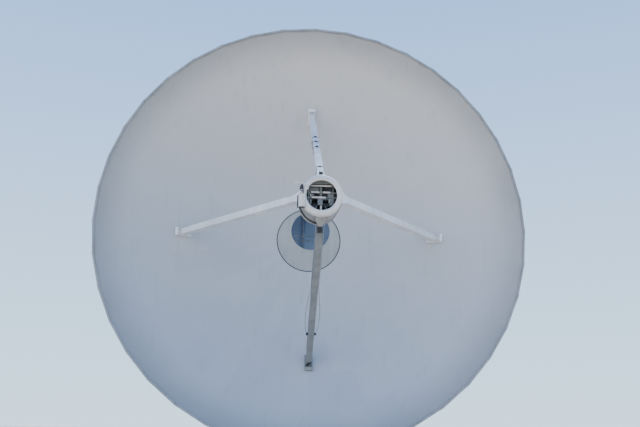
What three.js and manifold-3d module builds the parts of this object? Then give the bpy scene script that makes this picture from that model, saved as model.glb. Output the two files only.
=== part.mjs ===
// A steerable radio telescope with a 25 m dish. A squat eight-sided concrete tower carries a slewing
// ring, a steel turntable with two upright arms turns on it, and the dish tips between the arms.
// Millimetres, +Z up. The origin is on the azimuth axis, at ground level, and the dish looks along -Y.
import * as THREE from "three";
import { mergeVertices } from "three/addons/utils/BufferGeometryUtils.js";
import Module from "manifold-3d";

const wasm = await Module();
wasm.setup();

const degrees = THREE.MathUtils.degToRad;

// Driving dimensions
const RIM_RADIUS = 12500; // at the corners of the rim, which has straight sides
const RIM_SIDES = 40;
const FOCAL_LENGTH = 10150;
const AXIS_HEIGHT = 14000; // of the axis that the dish tips about
const VERTEX_FORWARD = 3600; // from the tipping axis to the bottom of the bowl
const GAP = 0.3; // between pieces that bear on each other
const ROD_SIDES = 24;
const TURNED_SIDES = 32;

// Reflector and the frame behind it
const PANELS = 8;
const RIBS = 20;
const SECTORS = 4;
const SKIN = 80;
const RIM_FLANGE_DEPTH = 260;
const RIM_FLANGE_WIDTH = 60;
const PLATE_RADIUS = 1950;
const STATIONS = [PLATE_RADIUS + 10, 4000, 6200, 8300, 10400, RIM_RADIUS];
const RIB_WIDTH = 180;
const RIB_ROOT_DEPTH = 2000;
const RIB_TIP_DEPTH = 250;
const RIB_TIP_RADIUS = RIM_RADIUS - RIM_FLANGE_WIDTH - 15;
const CHORD = 160;
const WEB = 120;
const HOOP = 120;
const HOOP_DROP = 80; // of the lower hoops, from the bottom of a rib
const HOOP_INSET = 250; // of the upper hoops, from the top of a rib
const HUB_RADIUS = 1840; // to its flat sides
const HUB_DEPTH = 2100;
const HUB_WALL = 150;
const PLATE = 60;
const WINDOW = { x: 110, y: 590, radius: 1220, glass: 30 };

// Focus cabin and its four legs
const FOOT_RADIUS = 7600;
const LEG_WIDTH = 330;
const LEG_DEPTH = 450;
const LEG_OVERRUN = 900; // past both ends, before they are cut to the reflector and the cabin
const BASE = { width: 460, inner: 7150, outer: 8050, thickness: 50 };
const HAUNCH = { width: 640, depth: 470, length: 600, back: 270 };
const NECK = { width: 210, depth: 380, back: 720 };
const CABIN_SIDES = 16;
const DRUM = { radius: 1060, wall: 40, back: 8250, front: 9980 };
const COWL = { outer: 1070, mouth: 780, band: 300, lip: 40, front: 10420 };
const LEG_HEAD = { radius: DRUM.radius, height: 9600 };
const FLANGE = { radius: 1150, thickness: 60 };
const RECEIVER = { radius: 380, front: 9100 };
const HORN = { sides: 16, throat: 250, mouth: 430, reach: 400, wall: 30, collar: 40 };
const RACK = { back: 9720, front: 9800, bar: 60, heights: [640, 300, 30], post: 620, panel: 740 };
const SIDE_BOX = { low: [-1160, -640], high: [-820, 80], front: 10500 };

// Cradle, trunnions and counterweight
const CRADLE = { halfWidth: 1700, halfHeight: 1450, back: 900 };
const TRUNNION_RADIUS = 350;
const ARM = { inner: 2600, outer: 3400, bearingRadius: 900 };
const TRUNNION_REACH = ARM.outer + 250;
const RUNNING_CLEARANCE = 0.5;
const CAP = { radius: 620, wall: 70 };
const TAIL = { x: 1250, width: 500, height: 1500 };
const WEIGHT = { halfWidth: 2000, front: 3200, back: 6000, halfHeight: 1700 };
const GEAR = { x: 2200, thickness: 160, radius: 3000, ring: 420, spoke: 380, collar: 600, margin: degrees(6) };
const PINION = { radius: 260, shaft: 130, shaftSides: 12, clearance: 6, overhang: 20 };

// Turntable and tower
const TOWER_SIDES = 8;
const TOWER_APOTHEM = 3100;
const TOWER_WALL = 350;
const PLINTH = { apothem: 3700, height: 400 };
const ROOF = { apothem: 3300, bottom: 5200, top: 5600 };
const RACE = { inner: 2150, outer: 2600, split: 5850, sides: 40 };
const DECK = { bottom: 6600, top: 7400, halfWidth: 3700, front: -2300, back: 3000 };
const WING = { reach: 5600, front: -1500, back: 1900, thickness: 300 };
const ARM_FOOT = 1900; // half of an arm's width where it stands on the deck
const AZIMUTH_DRIVE = { x: 3050, half: 250, bottom: 6000 };
const DOOR = { width: 1100, height: 2200, thickness: 80, inset: 170 };
const STEP = { halfWidth: 800, depth: 400, height: 200 };
const HOUSE = { inner: 3900, outer: 5400, front: -1200, back: 1600, height: 2400 };

const COLOURS = {
  whitePaint: new THREE.MeshStandardMaterial({ color: 0xb9bcc2, roughness: 0.6, metalness: 0.0 }),
  creamPaint: new THREE.MeshStandardMaterial({ color: 0xd9d5cc, roughness: 0.5, metalness: 0.0 }),
  galvanised: new THREE.MeshStandardMaterial({ color: 0x84888a, roughness: 0.5, metalness: 0.6 }),
  darkSteel: new THREE.MeshStandardMaterial({ color: 0x3b3e40, roughness: 0.5, metalness: 0.5 }),
  concrete: new THREE.MeshStandardMaterial({ color: 0xa39f97, roughness: 0.9, metalness: 0.0 }),
  glass: new THREE.MeshStandardMaterial({ color: 0x4d6180, roughness: 0.2, metalness: 0.0 }),
  door: new THREE.MeshStandardMaterial({ color: 0x2e5d86, roughness: 0.6, metalness: 0.0 }),
};

// Solids

function solidOf(geometry) {
  const bare = geometry.index ? geometry.toNonIndexed() : geometry.clone();
  bare.deleteAttribute("normal");
  bare.deleteAttribute("uv");
  const merged = mergeVertices(bare, 1e-3);
  const mesh = new wasm.Mesh({
    numProp: 3,
    vertProperties: merged.attributes.position.array,
    triVerts: new Uint32Array(merged.index.array),
  });
  return new wasm.Manifold(mesh);
}

function geometryOf(solid) {
  const mesh = solid.getMesh();
  const geometry = new THREE.BufferGeometry();
  geometry.setAttribute("position", new THREE.BufferAttribute(new Float32Array(mesh.vertProperties), 3));
  geometry.setIndex(new THREE.BufferAttribute(new Uint32Array(mesh.triVerts), 1));
  return geometry;
}

function fuse(...geometries) {
  return geometryOf(geometries.map(solidOf).reduce((whole, next) => whole.add(next)));
}

function carve(geometry, ...tools) {
  return geometryOf(tools.map(solidOf).reduce((whole, tool) => whole.subtract(tool), solidOf(geometry)));
}

// A box between two corners.
function block(low, high) {
  const [a, b] = [new THREE.Vector3(...low), new THREE.Vector3(...high)];
  const size = b.clone().sub(a);
  const centre = a.add(b).multiplyScalar(0.5);
  return new THREE.BoxGeometry(size.x, size.y, size.z).translate(centre.x, centre.y, centre.z);
}

// A square-edged bar from one point to another. Its height lies in the plane of the bar and "up".
function bar(from, to, width, height, up = new THREE.Vector3(0, 0, 1)) {
  const along = to.clone().sub(from);
  const z = along.clone().normalize();
  const x = new THREE.Vector3().crossVectors(up, z).normalize();
  const y = new THREE.Vector3().crossVectors(z, x);
  const turn = new THREE.Matrix4().makeBasis(x, y, z);
  const centre = from.clone().add(to).multiplyScalar(0.5);
  return new THREE.BoxGeometry(width, height, along.length())
    .applyMatrix4(turn)
    .translate(centre.x, centre.y, centre.z);
}

// A regular prism about the Z axis, whose flat sides are centred on multiples of 360 / sides degrees.
function flatSidedPrism(sides, apothem, low, high) {
  const radius = apothem / Math.cos(Math.PI / sides);
  return new THREE.CylinderGeometry(radius, radius, high - low, sides)
    .rotateX(Math.PI / 2)
    .rotateZ(Math.PI / 2 + Math.PI / sides)
    .translate(0, 0, (low + high) / 2);
}

// A round rod along the X axis whose corners lie at the given radius.
function rodAlongX(radius, low, high, sides = ROD_SIDES) {
  return new THREE.CylinderGeometry(radius, radius, high - low, sides)
    .rotateZ(Math.PI / 2)
    .translate((low + high) / 2, 0, 0);
}

// A closed (radius, height) profile carried from one azimuth to the next as flat facets.
function facetedSweep(outline, azimuths) {
  const contour = outline.map(([r, z]) => new THREE.Vector2(r, z));
  if (THREE.ShapeUtils.isClockWise(contour)) contour.reverse();
  const position = azimuths.flatMap((azimuth) =>
    contour.flatMap(({ x: r, y: z }) => [r * Math.cos(azimuth), r * Math.sin(azimuth), z]),
  );
  const index = [];
  const n = contour.length;
  for (let i = 0; i + 1 < azimuths.length; i++)
    for (let j = 0; j < n; j++) {
      const [a, b] = [i * n + j, i * n + ((j + 1) % n)];
      index.push(a, a + n, b, b, a + n, b + n);
    }
  const last = (azimuths.length - 1) * n;
  for (const [a, b, c] of THREE.ShapeUtils.triangulateShape(contour, []))
    index.push(a, b, c, last + a, last + c, last + b);
  const geometry = new THREE.BufferGeometry();
  geometry.setAttribute("position", new THREE.Float32BufferAttribute(position, 3));
  geometry.setIndex(index);
  return geometry;
}

// A closed (radius, height) profile turned about the Z axis, with its faces pointing out.
function turned(outline, sides = TURNED_SIDES) {
  const profile = outline.map(([r, z]) => new THREE.Vector2(r, z));
  if (THREE.ShapeUtils.isClockWise(profile)) profile.reverse();
  return new THREE.LatheGeometry([...profile, profile[0]], sides).rotateX(Math.PI / 2);
}

// A flat plate of the given outline in the Y-Z plane, between two values of x.
function plateAcrossX(shape, low, high) {
  return new THREE.ExtrudeGeometry(shape, { depth: high - low, bevelEnabled: false, curveSegments: 24 })
    .applyMatrix4(new THREE.Matrix4().makeBasis(
      new THREE.Vector3(0, 1, 0),
      new THREE.Vector3(0, 0, 1),
      new THREE.Vector3(1, 0, 0),
    ))
    .translate(low, 0, 0);
}

const polar = (radius, azimuth, z) =>
  new THREE.Vector3(radius * Math.cos(azimuth), radius * Math.sin(azimuth), z);

function piece(parent, name, geometry, material) {
  const mesh = new THREE.Mesh(geometry, material);
  mesh.name = name;
  parent.add(mesh);
  return mesh;
}

// Bowl shape, with heights measured forward from the vertex along the dish's axis

const bowlHeight = (r) => (r * r) / (4 * FOCAL_LENGTH);
const SKIN_STATIONS = STATIONS.map((r) => [r, bowlHeight(r)]);
const SIDE_ANGLE = (2 * Math.PI) / RIM_SIDES;

// Height of the reflector's front face on the line of a rib, where it is straight between stations.
function frontOfSkin(r) {
  const next = THREE.MathUtils.clamp(STATIONS.findIndex((station) => station > r), 1, STATIONS.length - 1);
  const [[r0, z0], [r1, z1]] = [SKIN_STATIONS[next - 1], SKIN_STATIONS[next]];
  return z0 + ((z1 - z0) * (Math.max(r, r0) - r0)) / (r1 - r0);
}

const backOfSkin = (r) => frontOfSkin(r) - SKIN;

// One eighth of the reflector: five flat-sided strips with a flange folded back along the rim.
function reflectorPanel() {
  const inside = RIM_RADIUS - RIM_FLANGE_WIDTH;
  const flangeBack = bowlHeight(RIM_RADIUS) - RIM_FLANGE_DEPTH;
  const profile = [
    ...SKIN_STATIONS,
    [RIM_RADIUS, flangeBack],
    [inside, flangeBack],
    [inside, backOfSkin(inside)],
    ...SKIN_STATIONS.slice(0, -1).map(([r, z]) => [r, z - SKIN]).reverse(),
  ];
  const sides = RIM_SIDES / PANELS;
  const azimuths = Array.from({ length: sides + 1 }, (_, i) => i * SIDE_ANGLE);
  azimuths[0] += GAP / STATIONS[0];
  azimuths[sides] -= GAP / STATIONS[0];
  return facetedSweep(profile, azimuths);
}

const ribDepth = (r) =>
  RIB_ROOT_DEPTH + ((RIB_TIP_DEPTH - RIB_ROOT_DEPTH) * (r - HUB_RADIUS)) / (RIB_TIP_RADIUS - HUB_RADIUS);
const ribTop = (r) => backOfSkin(r) - 2 * GAP;
const ribBottom = (r) => ribTop(r) - ribDepth(r);

// A triangle drawn in from its own edges by the distances given, one for each edge.
function insetTriangle(points, distances) {
  const lines = points.map((p, i) => {
    const q = points[(i + 1) % 3];
    const inward = new THREE.Vector2(-(q.y - p.y), q.x - p.x).normalize();
    return { p: p.clone().addScaledVector(inward, distances[i]), d: q.clone().sub(p) };
  });
  return lines.map((line, i) => {
    const before = lines[(i + 2) % 3];
    const t = line.p.clone().sub(before.p).cross(line.d) / before.d.cross(line.d);
    return before.p.clone().addScaledVector(before.d, t);
  });
}

// A radial rib: a flat truss with its upper chord under the skin, a lower chord and a zigzag web.
function rib() {
  const radii = [HUB_RADIUS + GAP, ...STATIONS.slice(1, -1), RIB_TIP_RADIUS];
  const top = [radii[0], STATIONS[0], ...radii.slice(1)].map((r) => new THREE.Vector2(r, ribTop(r)));
  const bottom = radii.map((r) => new THREE.Vector2(r, ribBottom(r)));
  const shape = new THREE.Shape([...bottom, ...[...top].reverse()]);
  for (let i = 0; i + 1 < radii.length; i++) {
    const [r0, r1] = [radii[i], radii[i + 1]];
    const [b0, b1] = [r0, r1].map((r) => new THREE.Vector2(r, ribBottom(r)));
    const [t0, t1] = [r0, r1].map((r) => new THREE.Vector2(r, ribTop(r)));
    const post0 = i === 0 ? CHORD : WEB / 2;
    const last = i === radii.length - 2;
    const chord = last ? CHORD / 2 : CHORD;
    shape.holes.push(new THREE.Path(insetTriangle([b0, b1, t0], [chord, WEB / 2, post0])));
    if (!last) shape.holes.push(new THREE.Path(insetTriangle([b1, t1, t0], [WEB / 2, chord, WEB / 2])));
  }
  return new THREE.ExtrudeGeometry(shape, { depth: RIB_WIDTH, bevelEnabled: false })
    .rotateX(Math.PI / 2)
    .translate(0, RIB_WIDTH / 2, 0);
}

// Five ribs, and the hoop bars that run from each to the next one round. The last bars stop at the
// face of the next sector's first rib.
function backingSector() {
  const step = (2 * Math.PI) / RIBS;
  const perSector = RIBS / SECTORS;
  const hoops = [
    ...STATIONS.slice(1, -1).map((r) => [r, ribBottom(r) + HOOP_DROP]),
    ...[STATIONS[2], STATIONS[4]].map((r) => [r, ribTop(r) - HOOP_INSET]),
  ];
  const parts = [];
  for (let i = 0; i < perSector; i++) {
    parts.push(rib().rotateZ(i * step));
    for (const [r, z] of hoops)
      parts.push(bar(polar(r, i * step, z), polar(r, (i + 1) * step, z), HOOP, HOOP));
  }
  const nextFace = RIB_WIDTH / 2 + GAP;
  const nextRib = block([0, -nextFace, -RIM_RADIUS], [RIM_RADIUS, nextFace, RIM_RADIUS]);
  return carve(fuse(...parts), nextRib.rotateZ(perSector * step));
}

// The drum that the ribs spring from: a twenty-sided cup, open where the vertex plate covers it.
function hub() {
  const front = bowlHeight(PLATE_RADIUS) - PLATE - GAP;
  const back = front - HUB_DEPTH;
  return carve(
    flatSidedPrism(RIBS, HUB_RADIUS, back, front),
    flatSidedPrism(RIBS, HUB_RADIUS - HUB_WALL, back + HUB_WALL, front + HUB_WALL),
  );
}

function vertexPlate() {
  const face = bowlHeight(PLATE_RADIUS);
  const disc = new THREE.CylinderGeometry(PLATE_RADIUS, PLATE_RADIUS, PLATE, RIM_SIDES);
  const hole = new THREE.CylinderGeometry(WINDOW.radius, WINDOW.radius, 3 * PLATE, TURNED_SIDES);
  return carve(
    disc.rotateX(Math.PI / 2).translate(0, 0, face - PLATE / 2),
    hole.rotateX(Math.PI / 2).translate(WINDOW.x, WINDOW.y, face),
  );
}

function vertexWindow() {
  const radius = WINDOW.radius - GAP;
  const back = bowlHeight(PLATE_RADIUS) - PLATE;
  return new THREE.CylinderGeometry(radius, radius, WINDOW.glass, TURNED_SIDES)
    .rotateX(Math.PI / 2)
    .translate(WINDOW.x, WINDOW.y, back + WINDOW.glass / 2);
}

// One leg: a box girder from a base plate on the reflector to a flared haunch on the side of the focus
// cabin. The bottom one is narrow for a short way below its haunch.
function feedLeg(necked) {
  const foot = new THREE.Vector3(FOOT_RADIUS, 0, bowlHeight(FOOT_RADIUS));
  const head = new THREE.Vector3(LEG_HEAD.radius, 0, LEG_HEAD.height);
  const along = head.clone().sub(foot).normalize();
  const across = new THREE.Vector3(0, 1, 0);
  const upper = new THREE.Vector3().crossVectors(along, across);
  const sunk = foot.clone().addScaledVector(along, -LEG_OVERRUN);
  const beyond = head.clone().addScaledVector(along, LEG_OVERRUN);
  const neck = head.clone().addScaledVector(along, -NECK.back);
  const girder = bar(sunk, necked ? neck : beyond, LEG_WIDTH, LEG_DEPTH, upper);
  const core = bar(foot, beyond, NECK.width, NECK.depth, upper);

  const flare = new THREE.Shape([
    new THREE.Vector2(-NECK.width / 2, 0),
    new THREE.Vector2(NECK.width / 2, 0),
    new THREE.Vector2(HAUNCH.width / 2, HAUNCH.length),
    new THREE.Vector2(-HAUNCH.width / 2, HAUNCH.length),
  ]);
  const flareFrom = head.clone().addScaledVector(along, -HAUNCH.back);
  const haunch = new THREE.ExtrudeGeometry(flare, { depth: HAUNCH.depth, bevelEnabled: false })
    .translate(0, 0, -HAUNCH.depth / 2)
    .applyMatrix4(new THREE.Matrix4().makeBasis(across.clone().negate(), along, upper))
    .translate(flareFrom.x, flareFrom.y, flareFrom.z);

  const [inner, outer] = [BASE.inner, BASE.outer].map((r) => new THREE.Vector3(r, 0, frontOfSkin(r)));
  const base = bar(inner, outer, BASE.width, 2 * BASE.thickness);

  const behindSkin = facetedSweep(
    [...SKIN_STATIONS.map(([r, z]) => [r, z + GAP]), [RIM_RADIUS, -RIM_RADIUS], [STATIONS[0], -RIM_RADIUS]],
    [-2, -1, 0, 1, 2].map((i) => i * SIDE_ANGLE),
  );
  const cabinSpace = block([-RIM_RADIUS, -RIM_RADIUS, 0], [DRUM.radius + GAP, RIM_RADIUS, RIM_RADIUS]);
  return carve(fuse(girder, core, haunch, base), behindSkin, cabinSpace);
}

// Focus cabin. The drum has sixteen flats, so that the legs' heads bear flat on it.

function cabinDrum() {
  const outer = flatSidedPrism(CABIN_SIDES, DRUM.radius, DRUM.back, DRUM.front);
  return carve(outer, flatSidedPrism(CABIN_SIDES, DRUM.radius - DRUM.wall, 0, RIM_RADIUS));
}

function cabinCowl() {
  const base = DRUM.front + GAP;
  return turned([
    [COWL.outer, base],
    [COWL.outer, base + COWL.band],
    [COWL.mouth + COWL.lip, COWL.front],
    [COWL.mouth, COWL.front],
    [COWL.mouth, COWL.front - COWL.lip],
    [COWL.outer - 2 * COWL.lip, base],
  ]);
}

function cabinFloor() {
  const top = DRUM.back - GAP;
  const bottom = top - FLANGE.thickness;
  const hole = HORN.throat + GAP;
  return turned([[hole, bottom], [FLANGE.radius, bottom], [FLANGE.radius, top], [hole, top]]);
}

// The receiver stands on the cabin's floor, over the hole for its horn.
function receiver() {
  const height = RECEIVER.front - DRUM.back;
  return new THREE.CylinderGeometry(RECEIVER.radius, RECEIVER.radius, height, ROD_SIDES)
    .rotateX(Math.PI / 2)
    .translate(0, 0, DRUM.back + height / 2);
}

// The horn hangs from the receiver through the floor and looks back at the reflector.
function feedHorn() {
  const top = DRUM.back - GAP;
  const neck = DRUM.back - FLANGE.thickness - HORN.collar;
  const mouth = DRUM.back - FLANGE.thickness - HORN.reach;
  return turned([
    [HORN.throat, top],
    [HORN.throat, neck],
    [HORN.mouth, mouth],
    [HORN.mouth - HORN.wall, mouth],
    [HORN.throat - HORN.wall, neck],
    [HORN.throat - HORN.wall, top],
  ], HORN.sides);
}

// Three shelves, two posts and an upper panel, fitted across the inside of the drum.
function cabinRack() {
  const wide = 2 * DRUM.radius;
  const shelves = RACK.heights.map((y) =>
    block([-wide, y - RACK.bar / 2, RACK.back], [wide, y + RACK.bar / 2, RACK.front]),
  );
  const posts = [-RACK.post, RACK.post].map((x) =>
    block([x - RACK.bar / 2, -wide, RACK.back], [x + RACK.bar / 2, wide, RACK.front]),
  );
  const panel = block([-wide, RACK.panel, RACK.front - RACK.bar / 2], [wide, wide, RACK.front]);
  const strut = block([-RACK.bar / 2, -wide, RACK.back], [RACK.bar / 2, RACK.heights[2], RACK.front]);
  const inside = flatSidedPrism(CABIN_SIDES, DRUM.radius - DRUM.wall - GAP, 0, RIM_RADIUS);
  return geometryOf(solidOf(fuse(...shelves, ...posts, panel, strut)).intersect(solidOf(inside)));
}

// A box of switchgear on the side of the cowl, shaped to it behind.
function cabinSideBox() {
  const base = DRUM.front;
  const cowlSpace = turned([
    [0, base],
    [COWL.outer + GAP, base],
    [COWL.outer + GAP, base + COWL.band + GAP],
    [COWL.mouth + COWL.lip, COWL.front + 2 * GAP],
    [0, COWL.front + 2 * GAP],
  ]);
  return carve(block([...SIDE_BOX.low, base + COWL.band], [...SIDE_BOX.high, SIDE_BOX.front]), cowlSpace);
}

// Cradle, about the tipping axis, which is X here. Z points forward.

const hubBack = () => VERTEX_FORWARD + bowlHeight(PLATE_RADIUS) - PLATE - GAP - HUB_DEPTH;

// A welded box with the trunnions through it and two tail beams for the counterweight.
function cradle() {
  const body = block(
    [-CRADLE.halfWidth, -CRADLE.halfHeight, -CRADLE.back],
    [CRADLE.halfWidth, CRADLE.halfHeight, hubBack() - GAP],
  );
  const tails = [-TAIL.x, TAIL.x].map((x) =>
    block(
      [x - TAIL.width / 2, -TAIL.height / 2, -WEIGHT.front + GAP],
      [x + TAIL.width / 2, TAIL.height / 2, -CRADLE.back / 2],
    ),
  );
  return fuse(body, rodAlongX(TRUNNION_RADIUS, -TRUNNION_REACH, TRUNNION_REACH), ...tails);
}

function counterweight() {
  return block(
    [-WEIGHT.halfWidth, -WEIGHT.halfHeight, -WEIGHT.back],
    [WEIGHT.halfWidth, WEIGHT.halfHeight, -WEIGHT.front],
  );
}

// A quarter gear on a collar about one trunnion, from straight down round to straight back.
function elevationGear() {
  const [low, high] = [GEAR.x - GEAR.thickness / 2, GEAR.x + GEAR.thickness / 2];
  const [down, back] = [Math.PI, 1.5 * Math.PI];
  const rim = new THREE.Shape();
  rim.absarc(0, 0, GEAR.radius, down - GEAR.margin, back + GEAR.margin, false);
  rim.absarc(0, 0, GEAR.radius - GEAR.ring, back + GEAR.margin, down - GEAR.margin, true);
  const spokes = [down, (down + back) / 2, back].map((angle) =>
    block([low, 0, -GEAR.spoke / 2], [high, GEAR.radius - GEAR.ring / 2, GEAR.spoke / 2]).rotateX(angle),
  );
  const collar = rodAlongX(GEAR.collar, CRADLE.halfWidth + GAP, high);
  return carve(fuse(plateAcrossX(rim, low, high), ...spokes, collar), trunnionBore());
}

// Clears the trunnion as it turns, over a length that takes in every piece on it.
function trunnionBore(low = -TRUNNION_REACH - GAP, high = TRUNNION_REACH + GAP) {
  const apothem = TRUNNION_RADIUS + RUNNING_CLEARANCE;
  return rodAlongX(apothem / Math.cos(Math.PI / ROD_SIDES), low, high);
}

// Turntable

function arm() {
  const shape = new THREE.Shape();
  const shoulder = degrees(10);
  shape.moveTo(-ARM_FOOT, DECK.top + GAP);
  shape.lineTo(ARM_FOOT, DECK.top + GAP);
  shape.absarc(0, AXIS_HEIGHT, ARM.bearingRadius, -shoulder, Math.PI + shoulder, false);
  const plate = plateAcrossX(shape, ARM.inner, ARM.outer);
  return carve(plate, trunnionBore().translate(0, 0, AXIS_HEIGHT));
}

// The closed bearing housing on the outer face of an arm.
function bearingHousing() {
  const low = ARM.outer + GAP;
  const cap = rodAlongX(CAP.radius, low, TRUNNION_REACH + CAP.wall);
  return carve(cap, trunnionBore(0, TRUNNION_REACH + GAP)).translate(0, 0, AXIS_HEIGHT);
}

// The gear's pinion, on a shaft that comes out of the arm beside it.
function elevationPinion() {
  const drop = GEAR.radius + PINION.radius + PINION.clearance;
  return fuse(
    rodAlongX(PINION.radius, GEAR.x - GEAR.thickness / 2, GEAR.x + GEAR.thickness / 2 + PINION.overhang),
    rodAlongX(PINION.shaft, GEAR.x, ARM.inner - GAP, PINION.shaftSides),
  ).translate(0, 0, AXIS_HEIGHT - drop);
}

function deck() {
  const wingBottom = DECK.top - WING.thickness;
  return fuse(
    block([-DECK.halfWidth, DECK.front, DECK.bottom], [DECK.halfWidth, DECK.back, DECK.top]),
    block([-WING.reach, WING.front, wingBottom], [WING.reach, WING.back, DECK.top]),
  );
}

function race(bottom, top) {
  const section = [[RACE.inner, bottom], [RACE.outer, bottom], [RACE.outer, top], [RACE.inner, top]];
  return turned(section, RACE.sides);
}

// Tower

// An eight-sided shaft of cast concrete, with a doorway in its back.
function towerWall() {
  const shaft = flatSidedPrism(TOWER_SIDES, TOWER_APOTHEM, PLINTH.height + GAP, ROOF.bottom - GAP);
  const room = flatSidedPrism(TOWER_SIDES, TOWER_APOTHEM - TOWER_WALL, 0, ROOF.top);
  const doorway = block(
    [-DOOR.width / 2, TOWER_APOTHEM - 2 * TOWER_WALL, 0],
    [DOOR.width / 2, TOWER_APOTHEM + TOWER_WALL, PLINTH.height + DOOR.height],
  );
  return carve(shaft, room, doorway);
}

function towerDoor() {
  const face = TOWER_APOTHEM - DOOR.inset;
  return block(
    [-DOOR.width / 2 + GAP, face - DOOR.thickness, PLINTH.height + GAP],
    [DOOR.width / 2 - GAP, face, PLINTH.height + DOOR.height - GAP],
  );
}

const telescope = new THREE.Group();

// Tower, up to the fixed half of the slewing ring
const { concrete, galvanised, whitePaint, creamPaint, darkSteel } = COLOURS;
const plinthBack = PLINTH.apothem + GAP;
piece(telescope, "plinth", flatSidedPrism(TOWER_SIDES, PLINTH.apothem, 0, PLINTH.height), concrete);
piece(telescope, "tower_wall", towerWall(), concrete);
piece(telescope, "tower_door", towerDoor(), COLOURS.door);
piece(
  telescope,
  "door_step",
  block([-STEP.halfWidth, plinthBack, 0], [STEP.halfWidth, plinthBack + STEP.depth, STEP.height]),
  concrete,
);
piece(telescope, "tower_roof", flatSidedPrism(TOWER_SIDES, ROOF.apothem, ROOF.bottom, ROOF.top), concrete);
piece(telescope, "slewing_ring_lower", race(ROOF.top + GAP, RACE.split), darkSteel);

// Turntable
piece(telescope, "slewing_ring_upper", race(RACE.split + GAP, DECK.bottom - GAP), darkSteel);
piece(telescope, "turntable_deck", deck(), whitePaint);
for (const [side, mirror] of [["right", 1], ["left", -1]]) {
  const turn = mirror === 1 ? 0 : Math.PI;
  piece(telescope, `arm_${side}`, arm().rotateZ(turn), whitePaint);
  piece(telescope, `bearing_${side}`, bearingHousing().rotateZ(turn), creamPaint);
  const { x, half, bottom } = AZIMUTH_DRIVE;
  const drive = block([x - half, -half, bottom], [x + half, half, DECK.bottom - GAP]);
  piece(telescope, `azimuth_drive_${side}`, drive.rotateZ(turn), galvanised);
}
piece(telescope, "elevation_pinion", elevationPinion(), darkSteel);
piece(
  telescope,
  "drive_house",
  block([HOUSE.inner, HOUSE.front, DECK.top + GAP], [HOUSE.outer, HOUSE.back, DECK.top + HOUSE.height]),
  whitePaint,
);

// Everything that tips. Inside this group Z points along the dish's axis and Y is up.
const tipping = new THREE.Group();
tipping.position.z = AXIS_HEIGHT;
tipping.rotation.x = Math.PI / 2;
telescope.add(tipping);
piece(tipping, "cradle", cradle(), whitePaint);
piece(tipping, "counterweight", counterweight(), whitePaint);
piece(tipping, "elevation_gear", elevationGear(), darkSteel);

const dish = new THREE.Group();
dish.position.z = VERTEX_FORWARD;
tipping.add(dish);
piece(dish, "hub", hub(), whitePaint);
piece(dish, "vertex_plate", vertexPlate(), whitePaint);
piece(dish, "vertex_window", vertexWindow(), COLOURS.glass);
for (let i = 0; i < PANELS; i++) {
  const panel = reflectorPanel().rotateZ((i * 2 * Math.PI) / PANELS);
  piece(dish, `reflector_panel_${i + 1}`, panel, whitePaint);
}
for (let i = 0; i < SECTORS; i++) {
  const sector = backingSector().rotateZ((i * 2 * Math.PI) / SECTORS);
  piece(dish, `backing_frame_${i + 1}`, sector, whitePaint);
}
for (const [i, side] of ["right", "top", "left", "bottom"].entries())
  piece(dish, `feed_leg_${side}`, feedLeg(side === "bottom").rotateZ((i * Math.PI) / 2), whitePaint);
piece(dish, "cabin_drum", cabinDrum(), creamPaint);
piece(dish, "cabin_cowl", cabinCowl(), creamPaint);
piece(dish, "cabin_floor", cabinFloor(), creamPaint);
piece(dish, "cabin_rack", cabinRack(), galvanised);
piece(dish, "cabin_side_box", cabinSideBox(), whitePaint);
piece(dish, "receiver", receiver(), galvanised);
piece(dish, "feed_horn", feedHorn(), galvanised);

export default telescope;
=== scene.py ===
"""A 25 m radio telescope, lowered to the horizon for service. Metres, +Z up; the dish looks along -Y."""

import math
import random

import bmesh
import bpy
from mathutils import Matrix, Vector


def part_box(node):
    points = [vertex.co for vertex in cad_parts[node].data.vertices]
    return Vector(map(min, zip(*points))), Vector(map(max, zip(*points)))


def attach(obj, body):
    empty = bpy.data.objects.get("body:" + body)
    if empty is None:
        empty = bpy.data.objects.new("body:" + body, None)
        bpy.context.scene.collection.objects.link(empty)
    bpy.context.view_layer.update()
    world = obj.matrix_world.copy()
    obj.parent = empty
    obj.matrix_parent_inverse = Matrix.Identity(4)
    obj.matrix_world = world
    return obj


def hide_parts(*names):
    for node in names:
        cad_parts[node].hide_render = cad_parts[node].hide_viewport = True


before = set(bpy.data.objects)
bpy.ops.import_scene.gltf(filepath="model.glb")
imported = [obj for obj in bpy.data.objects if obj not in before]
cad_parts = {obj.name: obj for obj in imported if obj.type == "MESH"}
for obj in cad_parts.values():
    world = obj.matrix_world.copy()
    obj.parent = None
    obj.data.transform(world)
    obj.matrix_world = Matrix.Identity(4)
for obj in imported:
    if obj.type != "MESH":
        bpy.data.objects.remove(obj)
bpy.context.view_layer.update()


# Camera: it stands in front of the dish, a little to its left and near the ground, and looks up at it
# through a short telephoto lens. A small roll matches the level of the picture.

LENS_MM = 45.0
SENSOR_MM = 36.0
CAMERA_PLACE = (-2.94, -52.1, 3.02)
CAMERA_PITCH = math.radians(14.69)
CAMERA_HEADING = math.radians(4.29)
CAMERA_ROLL = math.radians(-0.57)

camera_data = bpy.data.cameras.new("camera")
camera_data.lens = LENS_MM
camera_data.sensor_width = SENSOR_MM
camera_data.clip_end = 500.0
camera = bpy.data.objects.new("camera", camera_data)
camera.matrix_world = (
    Matrix.Translation(CAMERA_PLACE)
    @ Matrix.Rotation(-CAMERA_HEADING, 4, "Z")
    @ Matrix.Rotation(math.pi / 2 + CAMERA_PITCH, 4, "X")
    @ Matrix.Rotation(-CAMERA_ROLL, 4, "Z")
)
bpy.context.scene.collection.objects.link(camera)
bpy.context.scene.camera = camera


# Studio: a plain pale floor that runs to the horizon under a soft pale sky, one large soft key light
# high behind the dish on the right, and a weak warm fill from the front left.

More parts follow.
